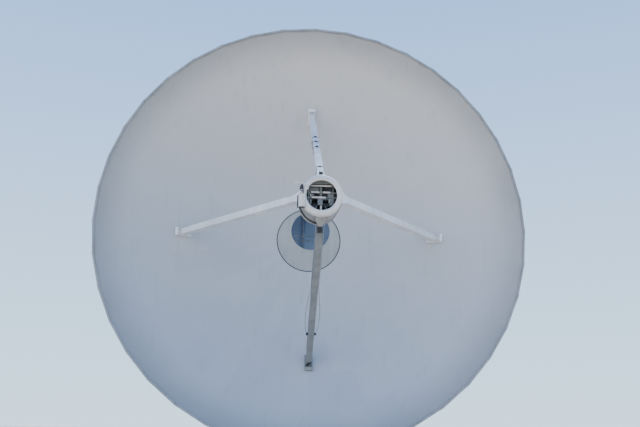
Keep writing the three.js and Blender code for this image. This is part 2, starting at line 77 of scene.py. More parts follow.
FLOOR_HALF = 400.0
FLOOR_COLOUR = (0.84, 0.71, 0.53, 1.0)
SKY_HIGH = (0.08, 0.25, 0.76, 1.0)
SKY_LOW = (0.60, 0.83, 1.0, 1.0)
SKY_STRENGTH = 1.95
KEY_ENERGY = 4.0
KEY_SOFTNESS = math.radians(24)
KEY_COLOUR = (1.0, 0.95, 0.87)
KEY_FROM = (0.35, 0.50, 1.0)
FILL_ENERGY = 1.2
FILL_SOFTNESS = math.radians(60)
FILL_COLOUR = (1.0, 0.89, 0.73)
FILL_FROM = (-0.8, -1.0, 0.05)

floor_mesh = bpy.data.meshes.new("floor")
floor_corners = [(x * FLOOR_HALF, y * FLOOR_HALF, 0.0) for x, y in ((-1, -1), (1, -1), (1, 1), (-1, 1))]
floor_mesh.from_pydata(floor_corners, [], [(0, 1, 2, 3)])
floor = bpy.data.objects.new("floor", floor_mesh)
floor_finish = bpy.data.materials.new("floor")
floor_finish.use_nodes = True
floor_finish.node_tree.nodes["Principled BSDF"].inputs["Base Color"].default_value = FLOOR_COLOUR
floor_finish.node_tree.nodes["Principled BSDF"].inputs["Roughness"].default_value = 0.9
floor_mesh.materials.append(floor_finish)
bpy.context.scene.collection.objects.link(floor)

sky = bpy.data.worlds.new("sky")
sky.use_nodes = True
sky_tree = sky.node_tree
sky_place = sky_tree.nodes.new("ShaderNodeTexCoord")
sky_height = sky_tree.nodes.new("ShaderNodeSeparateXYZ")
sky_ramp = sky_tree.nodes.new("ShaderNodeValToRGB")
sky_ramp.color_ramp.elements[0].color = SKY_LOW
sky_ramp.color_ramp.elements[1].color = SKY_HIGH
sky_ramp.color_ramp.elements[1].position = 0.75
sky_tree.links.new(sky_place.outputs["Generated"], sky_height.inputs[0])
sky_tree.links.new(sky_height.outputs["Z"], sky_ramp.inputs[0])
sky_tree.links.new(sky_ramp.outputs[0], sky_tree.nodes["Background"].inputs["Color"])
sky_tree.nodes["Background"].inputs["Strength"].default_value = SKY_STRENGTH
bpy.context.scene.world = sky

for light_name, energy, softness, colour, source in (
    ("key", KEY_ENERGY, KEY_SOFTNESS, KEY_COLOUR, KEY_FROM),
    ("fill", FILL_ENERGY, FILL_SOFTNESS, FILL_COLOUR, FILL_FROM),
):
    sun = bpy.data.lights.new(light_name, "SUN")
    sun.energy = energy
    sun.angle = softness
    sun.color = colour
    light = bpy.data.objects.new(light_name, sun)
    light.rotation_mode = "QUATERNION"
    light.rotation_quaternion = Vector(source).to_track_quat("Z", "Y")
    bpy.context.scene.collection.objects.link(light)


# Concrete tower: an eight-sided shaft cast in lifts against boards, on a plinth and under a roof slab.
# Grouted plugs fill the holes of its form ties, and rain has washed it darker below each edge.

UP = Vector((0, 0, 1))
TOWER_SIDES = 8
LIFT = 1.2
BOARD = 0.15
TIE_ROWS = 5
TIE_LOWEST = 0.55
TIE_RISE = 0.95
TIE_PITCH = 0.8
TIE_RADIUS = 0.03
TIE_PROUD = 0.004
CONCRETE = (0.34, 0.32, 0.285, 1.0)
CONCRETE_DAMP = (0.17, 0.165, 0.15, 1.0)
CONCRETE_PALE = (0.45, 0.44, 0.40, 1.0)


class Tone:
    """A value inside a material. Arithmetic on it adds the nodes that work it out."""

    def __init__(self, tree, socket=None):
        self.tree = tree
        self.socket = socket

    def make(self, kind, settings=(), sockets=(), output=0):
        """Adds a node. Its settings are set first, then the values or links of its sockets."""
        node = self.tree.nodes.new("ShaderNode" + kind)
        for name, value in dict(settings).items():
            setattr(node, name, value)
        for name, value in dict(sockets).items():
            if isinstance(value, Tone):
                self.tree.links.new(value.socket, node.inputs[name])
            else:
                node.inputs[name].default_value = value
        return Tone(self.tree, node.outputs[output])

    def sum(self, operation, first, second=0.0):
        return self.make("Math", {"operation": operation}, {0: first, 1: second})

    def __add__(self, other):
        return self.sum("ADD", self, other)

    def __radd__(self, other):
        return self.sum("ADD", other, self)

    def __sub__(self, other):
        return self.sum("SUBTRACT", self, other)

    def __rsub__(self, other):
        return self.sum("SUBTRACT", other, self)

    def __mul__(self, other):
        return self.sum("MULTIPLY", self, other)

    def __rmul__(self, other):
        return self.sum("MULTIPLY", other, self)

    def __truediv__(self, other):
        return self.sum("DIVIDE", self, other)

    def __pow__(self, other):
        return self.sum("POWER", self, other)

    def __abs__(self):
        return self.sum("ABSOLUTE", self)

    def part(self):
        """The fractional part."""
        return self.sum("FRACT", self)

    def seam(self, pitch, width):
        """A mask of lines, width wide, at every pitch of this value."""
        return abs((self / pitch).part() - 0.5).ramp(0.5 - width / pitch, 0.5)

    def ramp(self, low, high):
        """A mask that rises smoothly from 0 at low to 1 at high, or falls where low is the higher."""
        falls = low > high
        sockets = {0: self, 1: min(low, high), 2: max(low, high), 3: float(falls), 4: float(not falls)}
        return self.make("MapRange", {"interpolation_type": "SMOOTHSTEP"}, sockets)

    def blend(self, under, over):
        """A colour that goes from under to over as this mask rises."""
        return self.make("Mix", {"data_type": "RGBA"}, {0: self, 6: under, 7: over}, 2)

    def axes(self):
        split = self.make("SeparateXYZ", (), {0: self})
        return [Tone(self.tree, socket) for socket in split.socket.node.outputs]

    def stretch(self, x, y, z):
        return self.make("VectorMath", {"operation": "MULTIPLY"}, {0: self, 1: (x, y, z)})

    def noise(self, scale, detail=3.0, rough=0.55):
        """Cloudy noise about 0.5 at this place, with scale features to the metre."""
        sockets = {"Vector": self, "Scale": scale, "Detail": detail, "Roughness": rough}
        return self.make("TexNoise", (), sockets)

    def relief(self, depth):
        """A surface that this height raises by up to depth."""
        return self.make("Bump", (), {"Height": self, "Distance": depth})


def new_finish(name, **fixed):
    """A material, its shader with some sockets set, and the place on the object."""
    material = bpy.data.materials.new(name)
    material.use_nodes = True
    shader = material.node_tree.nodes["Principled BSDF"]
    for socket, value in fixed.items():
        shader.inputs[socket.replace("_", " ")].default_value = value
    return material, shader, Tone(material.node_tree).make("TexCoord", output="Object")


def feed(shader, **varying):
    for socket, tone in varying.items():
        shader.id_data.links.new(tone.socket, shader.inputs[socket.replace("_", " ")])


def dress(finish, *nodes):
    """Gives CAD pieces their finish."""
    for node in nodes:
        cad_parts[node].material_slots[0].material = finish


def cast_concrete():
    material, shader, here = new_finish("cast_concrete", Specular_IOR_Level=0.25)
    height = here.axes()[2]
    clouds = here.noise(0.55, 5.0)
    runs = here.stretch(2.6, 2.6, 0.12).noise(1.0, 4.0, 0.6)
    grit = here.noise(38.0, 4.0, 0.7)
    joint = height.seam(LIFT, 0.012)
    boards = height.seam(BOARD, 0.004)
    damp = (runs.ramp(0.48, 0.68) * 0.55 + height.ramp(0.7, 0.0) * 0.5) * clouds.ramp(0.3, 0.62)
    colour = clouds.ramp(0.36, 0.68).blend(CONCRETE, CONCRETE_PALE)
    colour = (damp + joint * 0.35 + grit.ramp(0.58, 0.75) * 0.12).blend(colour, CONCRETE_DAMP)
    feed(
        shader,
        Base_Color=colour,
        Roughness=grit * 0.15 + 0.78,
        Normal=(grit * 0.3 - joint * 0.8 - boards * 0.35 + clouds * 0.3).relief(0.008),
    )
    return material


def aim(start, end, up=UP):
    """A frame that stands at start, with its z axis towards end and its y axis leaning to up."""
    z = (Vector(end) - Vector(start)).normalized()
    x = Vector(up).cross(z)
    x = x.normalized() if x.length > 1e-4 else z.orthogonal().normalized()
    turn = Matrix((x, z.cross(x), z)).transposed().to_4x4()
    return Matrix.Translation(start) @ turn


def spin(share, count=1.0):
    """A turn about the z axis, by a share of a full turn in count parts."""
    return Matrix.Rotation(share * 2 * math.pi / count, 4, "Z")


def circle(radius, sides, start=0.0):
    angles = [start + i * 2 * math.pi / sides for i in range(sides)]
    return [(radius * math.cos(a), radius * math.sin(a)) for a in angles]


class Bench:
    """Lays out the parts of one piece, as points and faces, until they are made into one mesh."""

    def __init__(self, place=Matrix.Identity(4)):
        self.place = place
        self.points = []
        self.faces = []
        self.shades = []

    def add(self, points, faces, at=None, shade=0.0):
        start = len(self.points)
        move = self.place @ at if at else self.place
        self.points.extend(move @ Vector(point) for point in points)
        self.faces.extend([start + i for i in face] for face in faces)
        self.shades.extend([shade] * len(faces))

    def loft(self, rows, at=None, shade=0.0):
        """A closed solid through rows of points, each a loop about it."""
        width = len(rows[0])
        faces = [tuple(range(width)), tuple(range((len(rows) - 1) * width, len(rows) * width))]
        for i in range(len(rows) - 1):
            for j in range(width):
                a, b = i * width + j, i * width + (j + 1) % width
                faces.append((a, b, b + width, a + width))
        self.add([point for row in rows for point in row], faces, at, shade)

    def prism(self, outline, low, high, at=None, shade=0.0):
        self.loft([[(x, y, z) for x, y in outline] for z in (low, high)], at, shade)

    def collar(self, outer, inner, low, high, at=None, shade=0.0):
        """A flat ring between two outlines with as many points."""
        count = len(outer)
        points = [(x, y, z) for z in (low, high) for outline in (outer, inner) for x, y in outline]
        faces = []
        for i in range(count):
            j = (i + 1) % count
            rows = (0, count, 3 * count, 2 * count, 0)
            faces += [(a + i, a + j, b + j, b + i) for a, b in zip(rows, rows[1:])]
        self.add(points, faces, at, shade)

    def block(self, corner, opposite, at=None, shade=0.0):
        """A box between two opposite corners, in either order."""
        x, y, z = (sorted(pair) for pair in zip(corner, opposite))
        self.prism([(x[0], y[0]), (x[1], y[0]), (x[1], y[1]), (x[0], y[1])], *z, at, shade)

    def bar(self, start, end, width, depth, up=UP, shade=0.0):
        """A square-edged bar. Its depth leans to up, and its width lies across that."""
        length = (Vector(end) - Vector(start)).length
        corner = (-width / 2, -depth / 2, 0)
        self.block(corner, (width / 2, depth / 2, length), aim(start, end, up), shade)

    def tube(self, start, end, radius, sides=12, tip=None, shade=0.0):
        """A round bar, or a cone where tip is its radius at the far end."""
        length = (Vector(end) - Vector(start)).length
        rows = [
            [(x, y, z) for x, y in circle(r, sides)]
            for r, z in ((radius, 0.0), (radius if tip is None else tip, length))
        ]
        self.loft(rows, aim(start, end), shade)

    def pipe(self, path, radius, sides=10, shade=0.0):
        """A round pipe bent along a path."""
        path = [Vector(point) for point in path]
        side = (path[1] - path[0]).orthogonal().normalized()
        rows = []
        for i, point in enumerate(path):
            along = (path[min(i + 1, len(path) - 1)] - path[max(i - 1, 0)]).normalized()
            side = (side - along * side.dot(along)).normalized()
            other = along.cross(side)
            rows.append([point + side * x + other * y for x, y in circle(radius, sides)])
        self.loft(rows, None, shade)

    def turned(self, profile, sides=32, at=None, loop=True, shade=0.0):
        """A (radius, height) profile turned about the z axis. It is a loop, or ends on the axis."""
        points = []
        starts = []
        for radius, height in profile:
            starts.append(len(points))
            ring = circle(radius, sides) if radius > 0 else [(0.0, 0.0)]
            points.extend((x, y, height) for x, y in ring)
        faces = []
        for a in range(len(profile) if loop else len(profile) - 1):
            b = (a + 1) % len(profile)
            for i in range(sides):
                j = (i + 1) % sides
                corners = [(a, i), (a, j), (b, j), (b, i)]
                face = [starts[row] + (k if profile[row][0] > 0 else 0) for row, k in corners]
                faces.append(list(dict.fromkeys(face)))
        self.add(points, faces, at, shade)

    def hoop(self, inner, outer, low, high, sides=32, at=None):
        """A ring of rectangular section about the z axis."""
        self.turned([(inner, low), (outer, low), (outer, high), (inner, high)], sides, at)

    def bolt(self, point, out, width, shade=0.0):
        """A hexagon head on its washer, at a point on a face."""
        at = aim(point, Vector(point) + Vector(out))
        self.prism(circle(width * 0.62, 8), 0.0, width * 0.12, at, shade)
        self.prism(circle(width / 2, 6), width * 0.12, width * 0.62, at, shade)

    def bolt_ring(self, at, radius, count, width, shade=0.0):
        """Bolts in a ring about the z axis of a frame, with their heads along it."""
        out = at.to_3x3() @ UP
        for x, y in circle(radius, count, math.pi / count):
            self.bolt(at @ Vector((x, y, 0)), out, width, shade)

    def shell(self, front, back, shade=0.0):
        """A thin solid between two like grids of points."""
        rows, columns = len(front), len(front[0])
        count = rows * columns
        faces = []
        for i in range(rows - 1):
            for j in range(columns - 1):
                a = i * columns + j
                faces.append((a, a + 1, a + columns + 1, a + columns))
                faces.append((count + a, count + a + columns, count + a + columns + 1, count + a + 1))
        edge = list(range(columns))
        edge += [i * columns + columns - 1 for i in range(1, rows)]
        edge += [(rows - 1) * columns + j for j in range(columns - 2, -1, -1)]
        edge += [i * columns for i in range(rows - 2, 0, -1)]
        faces += [(p, count + p, count + q, q) for p, q in zip(edge, edge[1:] + edge[:1])]
        self.add([p for grid in (front, back) for row in grid for p in row], faces, None, shade)

    def sheet(self, front, thick, shade=0.0):
        """A thin solid below a grid of points."""
        self.shell(front, [[point - UP * thick for point in line] for line in front], shade)

    def make(self, name, body, slot, finish, replaces=(), crisp=35, ease=0.0):
        """Makes the piece. Edges of over crisp degrees stay sharp, or are rounded by ease metres."""
        mesh = bpy.data.meshes.new(name)
        mesh.from_pydata([tuple(point) for point in self.points], [], self.faces)
        mesh.attributes.new("shade", "FLOAT", "FACE").data.foreach_set("value", self.shades)
        tidy = bmesh.new()
        tidy.from_mesh(mesh)
        bmesh.ops.recalc_face_normals(tidy, faces=tidy.faces)
        tidy.to_mesh(mesh)
        tidy.free()
        mesh.materials.append(finish)
        mesh.shade_smooth()
        mesh.set_sharp_from_angle(angle=math.radians(crisp))
        piece = bpy.data.objects.new(name, mesh)
        bpy.context.scene.collection.objects.link(piece)
        if ease:
            rounding = piece.modifiers.new("ease", "BEVEL")
            rounding.width = ease
            rounding.segments = 1
            rounding.limit_method = "ANGLE"
            rounding.angle_limit = math.radians(crisp)
            rounding.harden_normals = True
        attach(piece, body)
        if replaces:
            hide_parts(*replaces)
        return piece


concrete = cast_concrete()
dress(concrete, "plinth", "tower_wall", "door_step", "tower_roof")

wall_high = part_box("tower_wall")[1]
plinth_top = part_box("plinth")[1].z
door_low, door_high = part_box("tower_door")

ties = Bench()
for side in range(TOWER_SIDES):
    facing = spin(side, TOWER_SIDES)
    out = facing @ Vector((1, 0, 0))
    for across in (-1, 0, 1):
        for row in range(TIE_ROWS):
            height = plinth_top + TIE_LOWEST + row * TIE_RISE
            point = facing @ Vector((wall_high.x, across * TIE_PITCH, height))
            at_door = point.y > door_low.y and abs(point.x) < door_high.x + TIE_RADIUS
            if not at_door or height > door_high.z + 0.2:
                ties.tube(point - out * 0.01, point + out * TIE_PROUD, TIE_RADIUS, 12)
ties.make("tie_plugs", "tower", "concrete", concrete)


# Tower door: a steel leaf in a steel frame, set into the doorway, with a kick plate, a louvre, a lever
# handle, three lift-off hinges and a small sheet hood over it with a bulkhead lamp.

DOOR_BLUE = (0.035, 0.10, 0.20, 1.0)
DOOR_FADED = (0.10, 0.19, 0.30, 1.0)
FRAME_LIP = 0.06
LEAF_GAP = 0.004
LEAF_BACK = 0.012
LOUVRE_HALF = 0.25
LOUVRE_BLADES = 9
BLADE_PITCH = 0.05
HINGES = (0.35, 1.15, 1.95)
HOOD = {"half": 0.8, "reach": 0.62, "sheet": 0.006, "lip": 0.05, "cheek": 0.26}
LAMP_LIT = (0.75, 0.73, 0.66, 1.0)
LAMP_DUSTY = (0.62, 0.60, 0.54, 1.0)
RUST = (0.17, 0.075, 0.035, 1.0)
ZINC_DULL = (0.30, 0.31, 0.32, 1.0)
ZINC_BRIGHT = (0.42, 0.43, 0.44, 1.0)
ZINC_BLOOM = (0.50, 0.50, 0.48, 1.0)


def shift(x=0.0, y=0.0, z=0.0):
    return Matrix.Translation((x, y, z))


def painted_steel(name, colour, worn, roughness=0.42, rust=0.0):
    """Brushed paint on steel: faintly cloudy and streaked towards a worn tone, with a few rust specks."""
    material, shader, here = new_finish(name)
    clouds = here.noise(0.7, 4.0)
    runs = here.stretch(3.2, 3.2, 0.22).noise(1.0, 4.0, 0.6)
    brush = here.noise(24.0, 3.0, 0.6)
    tone = (clouds * 0.6 + runs * 0.5).ramp(0.42, 0.72).blend(colour, worn)
    specks = here.noise(7.0, 6.0, 0.7).ramp(0.74, 0.8) * rust
    tone = specks.blend(tone, RUST)
    feed(
        shader,
        Base_Color=tone,
        Roughness=brush * 0.14 + runs * 0.1 + (roughness - 0.12) + specks * 0.3,
        Normal=(brush * 0.5 + clouds * 0.5).relief(0.0016),
    )
    return material


def hot_zinc():
    """Galvanised steel: dull grey spangle, with a pale bloom where water stands."""
    material, shader, here = new_finish("hot_zinc")
    spangle = here.make("TexVoronoi", (), {"Vector": here, "Scale": 34.0}, "Color").axes()[0]
    bloom = here.noise(1.6, 5.0, 0.65)
    tone = bloom.ramp(0.55, 0.75).blend(spangle.blend(ZINC_DULL, ZINC_BRIGHT), ZINC_BLOOM)
    feed(
        shader,
        Base_Color=tone,
        Metallic=0.75 - bloom.ramp(0.5, 0.75) * 0.5,
        Roughness=spangle * 0.16 + bloom * 0.2 + 0.3,
    )
    return material


door_paint = painted_steel("door_paint", DOOR_BLUE, DOOR_FADED, 0.5, 0.5)
zinc = hot_zinc()

door_face = door_high.y
wall_face = wall_high.y
leaf = Bench()
leaf_x, leaf_top = door_high.x - FRAME_LIP - LEAF_GAP, door_high.z - FRAME_LIP - LEAF_GAP
leaf.block((-leaf_x, door_low.y, door_low.z + LEAF_BACK), (leaf_x, door_face - LEAF_BACK, leaf_top))
panel_x = door_high.x - FRAME_LIP - 0.1
for low, high in ((door_low.z + 0.32, door_low.z + 0.95), (door_low.z + 1.75, door_high.z - 0.17)):
    leaf.block((-panel_x, door_face - 0.014, low), (panel_x, door_face - 0.006, high))
for low in (door_low.z + 1.08, door_low.z + 1.60):
    leaf.block((-LOUVRE_HALF, door_face - 0.014, low), (LOUVRE_HALF, door_face, low + 0.04))
for blade in range(LOUVRE_BLADES):
    height = door_low.z + 1.16 + blade * BLADE_PITCH
    ends = [(x, door_face - LEAF_BACK, height) for x in (-LOUVRE_HALF, LOUVRE_HALF)]
    leaf.bar(*ends, 0.04, 0.006, (0, 0.6, 1))
leaf.make("door_leaf", "tower", "door_paint", door_paint, ["tower_door"], ease=0.002)

ironwork = Bench()
lintel = door_high.z
for x in (door_low.x, door_high.x - FRAME_LIP):
    ironwork.block((x, door_low.y - 0.02, door_low.z + 0.001), (x + FRAME_LIP, door_face, lintel - 0.001))
ironwork.block((door_low.x, door_low.y - 0.02, lintel - FRAME_LIP), (door_high.x, door_face, lintel - 0.001))
kick_plate = (panel_x, door_face - 0.008, door_low.z + 0.26)
ironwork.block((-panel_x, door_face - LEAF_BACK, door_low.z + 0.03), kick_plate)
for height in HINGES:
    knuckle = Vector((door_low.x + 0.066, door_face, door_low.z + height))
    ironwork.tube(knuckle, knuckle + UP * 0.12, 0.014)
handle = Vector((door_high.x - 0.14, door_face - LEAF_BACK, door_low.z + 1.02))
ironwork.block(handle + Vector((-0.025, 0, -0.11)), handle + Vector((0.025, 0.012, 0.11)))
ironwork.tube(handle, handle + Vector((0, 0.06, 0)), 0.011)
lever = ((0.008, 0.055, 0), (-0.04, 0.06, 0), (-0.13, 0.056, -0.004))
ironwork.pipe([handle + Vector(point) for point in lever], 0.010)
hood_at = shift(0, wall_face, lintel + 0.16)
half, reach, thick, lip = HOOD["half"], HOOD["reach"], HOOD["sheet"], HOOD["lip"]
ironwork.block((-half, 0, 0), (half, reach, thick), hood_at)
ironwork.block((-half, reach - thick, -lip), (half, reach, 0), hood_at)
cheek_at = hood_at @ Matrix(((0, 0, 1, 0), (1, 0, 0, 0), (0, 1, 0, 0), (0, 0, 0, 1)))
for x in (-half, half - thick):
    ironwork.prism([(0, 0), (reach, 0), (reach, -lip), (0, -HOOD["cheek"])], x, x + thick, cheek_at)
ironwork.make("door_ironwork", "tower", "galvanised", zinc, ease=0.002)

lamp_glass, lamp_shader, lamp_here = new_finish("lamp_glass", Roughness=0.35)
feed(lamp_shader, Base_Color=lamp_here.noise(9.0).blend(LAMP_LIT, LAMP_DUSTY))
lamp = Bench()
lamp_at = aim((0, wall_face + 0.001, lintel + 0.42), (0, wall_face + 1, lintel + 0.42))
lamp_profile = [(0.0, 0.0), (0.12, 0.0), (0.12, 0.03), (0.10, 0.06), (0.055, 0.085), (0.0, 0.09)]
lamp.turned(lamp_profile, 20, lamp_at, loop=False)
lamp.make("door_lamp", "tower", "cabin_paint", lamp_glass)


# Services on the tower: two rigid conduits up the wall to the slewing ring with their saddles, a down
# conductor, and a vent grille on every other side. All of it is galvanised.

CONDUIT_RADIUS = 0.032
CONDUIT_X = 0.08
SADDLE_PITCH = 0.9
SADDLES = 5
VENT = {"width": 0.7, "height": 0.45, "bottom": 3.4, "blades": 8}
VENT_FRAME = 0.05
CONDUIT_SIDE = 3
CONDUCTOR_SIDE = 5
DOOR_SIDE = 2

roof_low, roof_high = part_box("tower_roof")
services = Bench()
for side in range(TOWER_SIDES):
    facing = spin(side, TOWER_SIDES)
    if side % 2 == 0 and side != DOOR_SIDE:
        at = facing @ shift(wall_high.x + 0.001, 0, plinth_top + VENT["bottom"])
        half = VENT["width"] / 2
        for z in (-VENT_FRAME, VENT["height"]):
            services.block((0, -half - VENT_FRAME, z), (0.03, half + VENT_FRAME, z + VENT_FRAME), at)
        for y in (-half - VENT_FRAME, half):
            services.block((0, y, 0), (0.03, y + VENT_FRAME, VENT["height"]), at)
        for blade in range(VENT["blades"]):
            z = (blade + 0.5) * VENT["height"] / VENT["blades"]
            lean = at @ shift(0.016, 0, z) @ Matrix.Rotation(math.radians(40), 4, "Y")
            services.block((-0.024, -half, -0.0015), (0.024, half, 0.0015), lean)
    if side == CONDUIT_SIDE:
        at = facing @ shift(wall_high.x)
        services.block((0, -0.2, plinth_top + 0.05), (0.14, 0.2, plinth_top + 0.45), at)
        for y in (-CONDUIT_X, CONDUIT_X):
            foot = at @ Vector((CONDUIT_RADIUS + 0.004, y, plinth_top + 0.4))
            services.tube(foot, (foot.x, foot.y, roof_low.z - 0.02), CONDUIT_RADIUS, 14)
            for step in range(SADDLES):
                z = foot.z + 0.3 + step * SADDLE_PITCH
                services.block((0, y - 0.055, z), (2 * CONDUIT_RADIUS + 0.008, y + 0.055, z + 0.03), at)
    if side == CONDUCTOR_SIDE:
        services.block((wall_high.x, 0.6, plinth_top), (wall_high.x + 0.004, 0.63, roof_low.z), facing)
services.make("tower_services", "tower", "galvanised", zinc, ease=0.0015)

edge_trim = Bench()
ring = [((roof_high.x + out) / math.cos(math.pi / TOWER_SIDES), roof_high.z + up) for out, up in (
    (0.012, -0.12), (0.012, 0.012), (-0.10, 0.012), (-0.10, 0.001), (0.002, 0.001), (0.002, -0.12),
)]
edge_trim.turned(ring, TOWER_SIDES, spin(0.5, TOWER_SIDES))
edge_trim.make("roof_flashing", "tower", "galvanised", zinc, crisp=20)


# Slewing ring: the turntable turns on two forged rings. The lower one is bolted to the roof slab and has
# teeth outside, and the upper one carries the deck. Each drive hangs from the deck with its pinion on it.

RING_TEETH = 140
DRIVE_TEETH = 14
RACE_BORE = 2.15
RING_SIDES = 120
RING_BOLTS = 36
BOLT_CIRCLES = (2.3, 2.48)
MOTOR_FINS = 20
MOTOR_STEPS = (
    (0.13, -0.02, 0.04), (0.235, 0.04, 0.10), (0.20, 0.12, 0.30), (0.225, 0.31, 0.35), (0.185, 0.37, 0.55),
)
STEEL_OILED = (0.075, 0.078, 0.08, 1.0)
STEEL_DUSTY = (0.17, 0.16, 0.14, 1.0)
# What stands on the right is made again on the left, turned half round.
SIDES = {"right": Matrix.Identity(4), "left": spin(0.5)}


def dark_machine_steel():
    """Machined steel under a film of grease that has gathered dust."""
    material, shader, here = new_finish("machine_steel")
    film = here.noise(2.2, 5.0, 0.6)
    turning = here.noise(60.0, 2.0)
    feed(
        shader,
        Base_Color=film.ramp(0.4, 0.66).blend(STEEL_OILED, STEEL_DUSTY),
        Metallic=0.9 - film.ramp(0.45, 0.7) * 0.6,
        Roughness=film * 0.35 + turning * 0.1 + 0.18,
        Normal=turning.relief(0.0006),
    )
    return material


def toothed(root, tip, count, start=0.0, sweep=2 * math.pi):
    """The outline of teeth round an arc. The first is centred on the start."""
    pitch = sweep / count
    outline = []
    for i in range(count):
        for share, radius in ((-0.28, root), (-0.12, tip), (0.12, tip), (0.28, root)):
            angle = start + (i + share) * pitch
            outline.append((radius * math.cos(angle), radius * math.sin(angle)))
    return outline


machine_steel = dark_machine_steel()
lower_low, lower_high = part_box("slewing_ring_lower")
upper_low, upper_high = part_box("slewing_ring_upper")
drive_low, drive_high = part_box("azimuth_drive_right")
drive_x = (drive_low.x + drive_high.x) / 2
azimuth_module = 2 * drive_x / (RING_TEETH + DRIVE_TEETH)
ring_pitch = azimuth_module * RING_TEETH / 2
drive_pitch = azimuth_module * DRIVE_TEETH / 2

lower = Bench()
edge_x, top = lower_high.x, lower_high.z
lower.turned([
    (RACE_BORE, lower_low.z), (edge_x, lower_low.z), (edge_x, top - 0.012), (edge_x - 0.012, top),
    (RACE_BORE, top),
], RING_SIDES)
teeth = toothed(ring_pitch - azimuth_module * 0.5, ring_pitch + azimuth_module * 0.4, RING_TEETH)
root_ring = [Vector(point).normalized() * (edge_x - 0.1) for point in teeth]
lower.collar(teeth, root_ring, lower_low.z + 0.07, top - 0.05)
for i in range(RING_BOLTS):
    for radius in BOLT_CIRCLES:
        lower.bolt(spin(i + 0.5, RING_BOLTS) @ Vector((radius, 0, lower_low.z + 0.02)), UP, 0.06)
lower.make("ring_gear", "tower", "dark_steel", machine_steel, ["slewing_ring_lower"], crisp=28)

upper = Bench()
edge_x, low, top = upper_high.x, upper_low.z, upper_high.z
upper.turned([
    (RACE_BORE, low), (edge_x, low), (edge_x, low + 0.14), (edge_x - 0.07, low + 0.16),
    (edge_x - 0.07, top - 0.08), (edge_x, top - 0.06), (edge_x, top), (RACE_BORE, top),
], RING_SIDES)
for i in range(RING_BOLTS):
    turn = spin(i + 0.5, RING_BOLTS)
    upper.block((edge_x - 0.08, -0.008, low + 0.15), (edge_x - 0.004, 0.008, top - 0.07), turn)
    for y in (-0.11, 0.11):
        upper.bolt(turn @ Vector((edge_x - 0.035, y, top - 0.07)), -UP, 0.045)
upper.make("turning_drum", "turntable", "dark_steel", machine_steel, ["slewing_ring_upper"], crisp=28)

for side, place in SIDES.items():
    place = place @ shift(drive_x)
    drive = Bench(place)
    low, top = drive_low.z, drive_high.z
    body = [(radius, low + z) for radius, *ends in MOTOR_STEPS for z in ends]
    drive.turned([(0.0, body[0][1]), *body, (0.25, top - 0.05), (0.25, top), (0.0, top)], 36, loop=False)
    drive.bolt_ring(shift(z=low + 0.10), 0.218, 16, 0.024)
    drive.bolt_ring(shift(z=low + 0.35), 0.205, 16, 0.02)
    for fin in range(MOTOR_FINS):
        drive.block((0.18, -0.004, low + 0.38), (0.225, 0.004, top - 0.06), spin(fin, MOTOR_FINS))
    drive.block((0.15, -0.07, low + 0.39), (0.25, 0.07, top - 0.08))
    stood_for = [f"azimuth_drive_{side}"]
    drive.make(f"azimuth_motor_{side}", "turntable", "galvanised", zinc, stood_for, ease=0.002)

    wheel = Bench(place)
    root, tip = drive_pitch - azimuth_module * 0.5, drive_pitch + azimuth_module * 0.4
    outline = toothed(root, tip, DRIVE_TEETH, math.pi / DRIVE_TEETH)
    wheel.prism(outline, lower_low.z + 0.06, lower_high.z - 0.04)
    wheel.tube((0, 0, lower_low.z + 0.03), (0, 0, low), 0.09, 24)
    wheel.make(f"azimuth_pinion_{side}", "turntable", "dark_steel", machine_steel, crisp=28)


# Turntable deck: a welded box of plate with flanges and web stiffeners, and a lighter wing on each side.
# Its top is chequer plate, with a tubular rail and a toe board round the edge.

UPRIGHT = Matrix.Rotation(math.pi / 2, 4, "X")
PAINT_GREY = (0.40, 0.41, 0.42, 1.0)
PAINT_WORN = (0.27, 0.275, 0.27, 1.0)
CHEQUER_GREY = (0.20, 0.205, 0.205, 1.0)
CHEQUER_DUSTY = (0.32, 0.32, 0.31, 1.0)
CHEQUER_BRIGHT = (0.45, 0.45, 0.44, 1.0)
FLANGE_PROUD = 0.05
FLANGE_THICK = 0.03
STIFFENER_PITCH = 0.62
STIFFENER_HALF = 0.007
STIFFENER_PROUD = FLANGE_PROUD * 0.9
END_STIFFENERS = (0.4, 4.75, 5.25)
RAIL_HEIGHT = 1.0
LOW_RAIL = 0.85
MID_RAIL = 0.52
RAIL_RADIUS = 0.024
POST_FOOT = 0.045
POST_PITCH = 1.25
TOE_HEIGHT = 0.12
CHEQUER_THICK = 0.008
CHEQUER_JOINT = 0.004
LOZENGE = 0.032
MAIN_X = 3.7
WING_Y = (-1.5, 1.9)
WING_DEPTH = 0.3
ARM_FOOT_X = (2.58, 3.42)
ARM_FOOT_Y = 1.92
HOUSE_CORNER = (5.42, -1.2, 1.6)
RAIL_INSET = 0.06
GATE = (0.5, 2.3)

structure_paint = painted_steel("structure_paint", PAINT_GREY, PAINT_WORN, 0.45, 0.35)
dress(structure_paint, "turntable_deck")
deck_low, deck_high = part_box("turntable_deck")
main_y = (deck_low.y, deck_high.y)
wing_bottom = deck_high.z - WING_DEPTH


def chequer_plate():
    """Steel floor plate with raised lozenges in two directions, worn bright on the walkways."""
    material, shader, here = new_finish("chequer_plate")
    x, y, _ = here.axes()
    long_way = here.sum("PINGPONG", (x + y) / LOZENGE, 0.5).ramp(0.3, 0.42)
    short_way = here.sum("PINGPONG", (x - y) / (2 * LOZENGE), 0.5).ramp(0.18, 0.32)
    tread = long_way * short_way
    wear = here.noise(1.1, 5.0, 0.65)
    tone = wear.ramp(0.42, 0.68).blend(CHEQUER_GREY, CHEQUER_DUSTY)
    tone = (tread * 0.5).blend(tone, CHEQUER_BRIGHT)
    feed(
        shader,
        Base_Color=tone,
        Metallic=0.45 + tread * 0.35,
        Roughness=wear * 0.35 + 0.32 - tread * 0.1,
        Normal=tread.relief(0.002),
    )
    return material


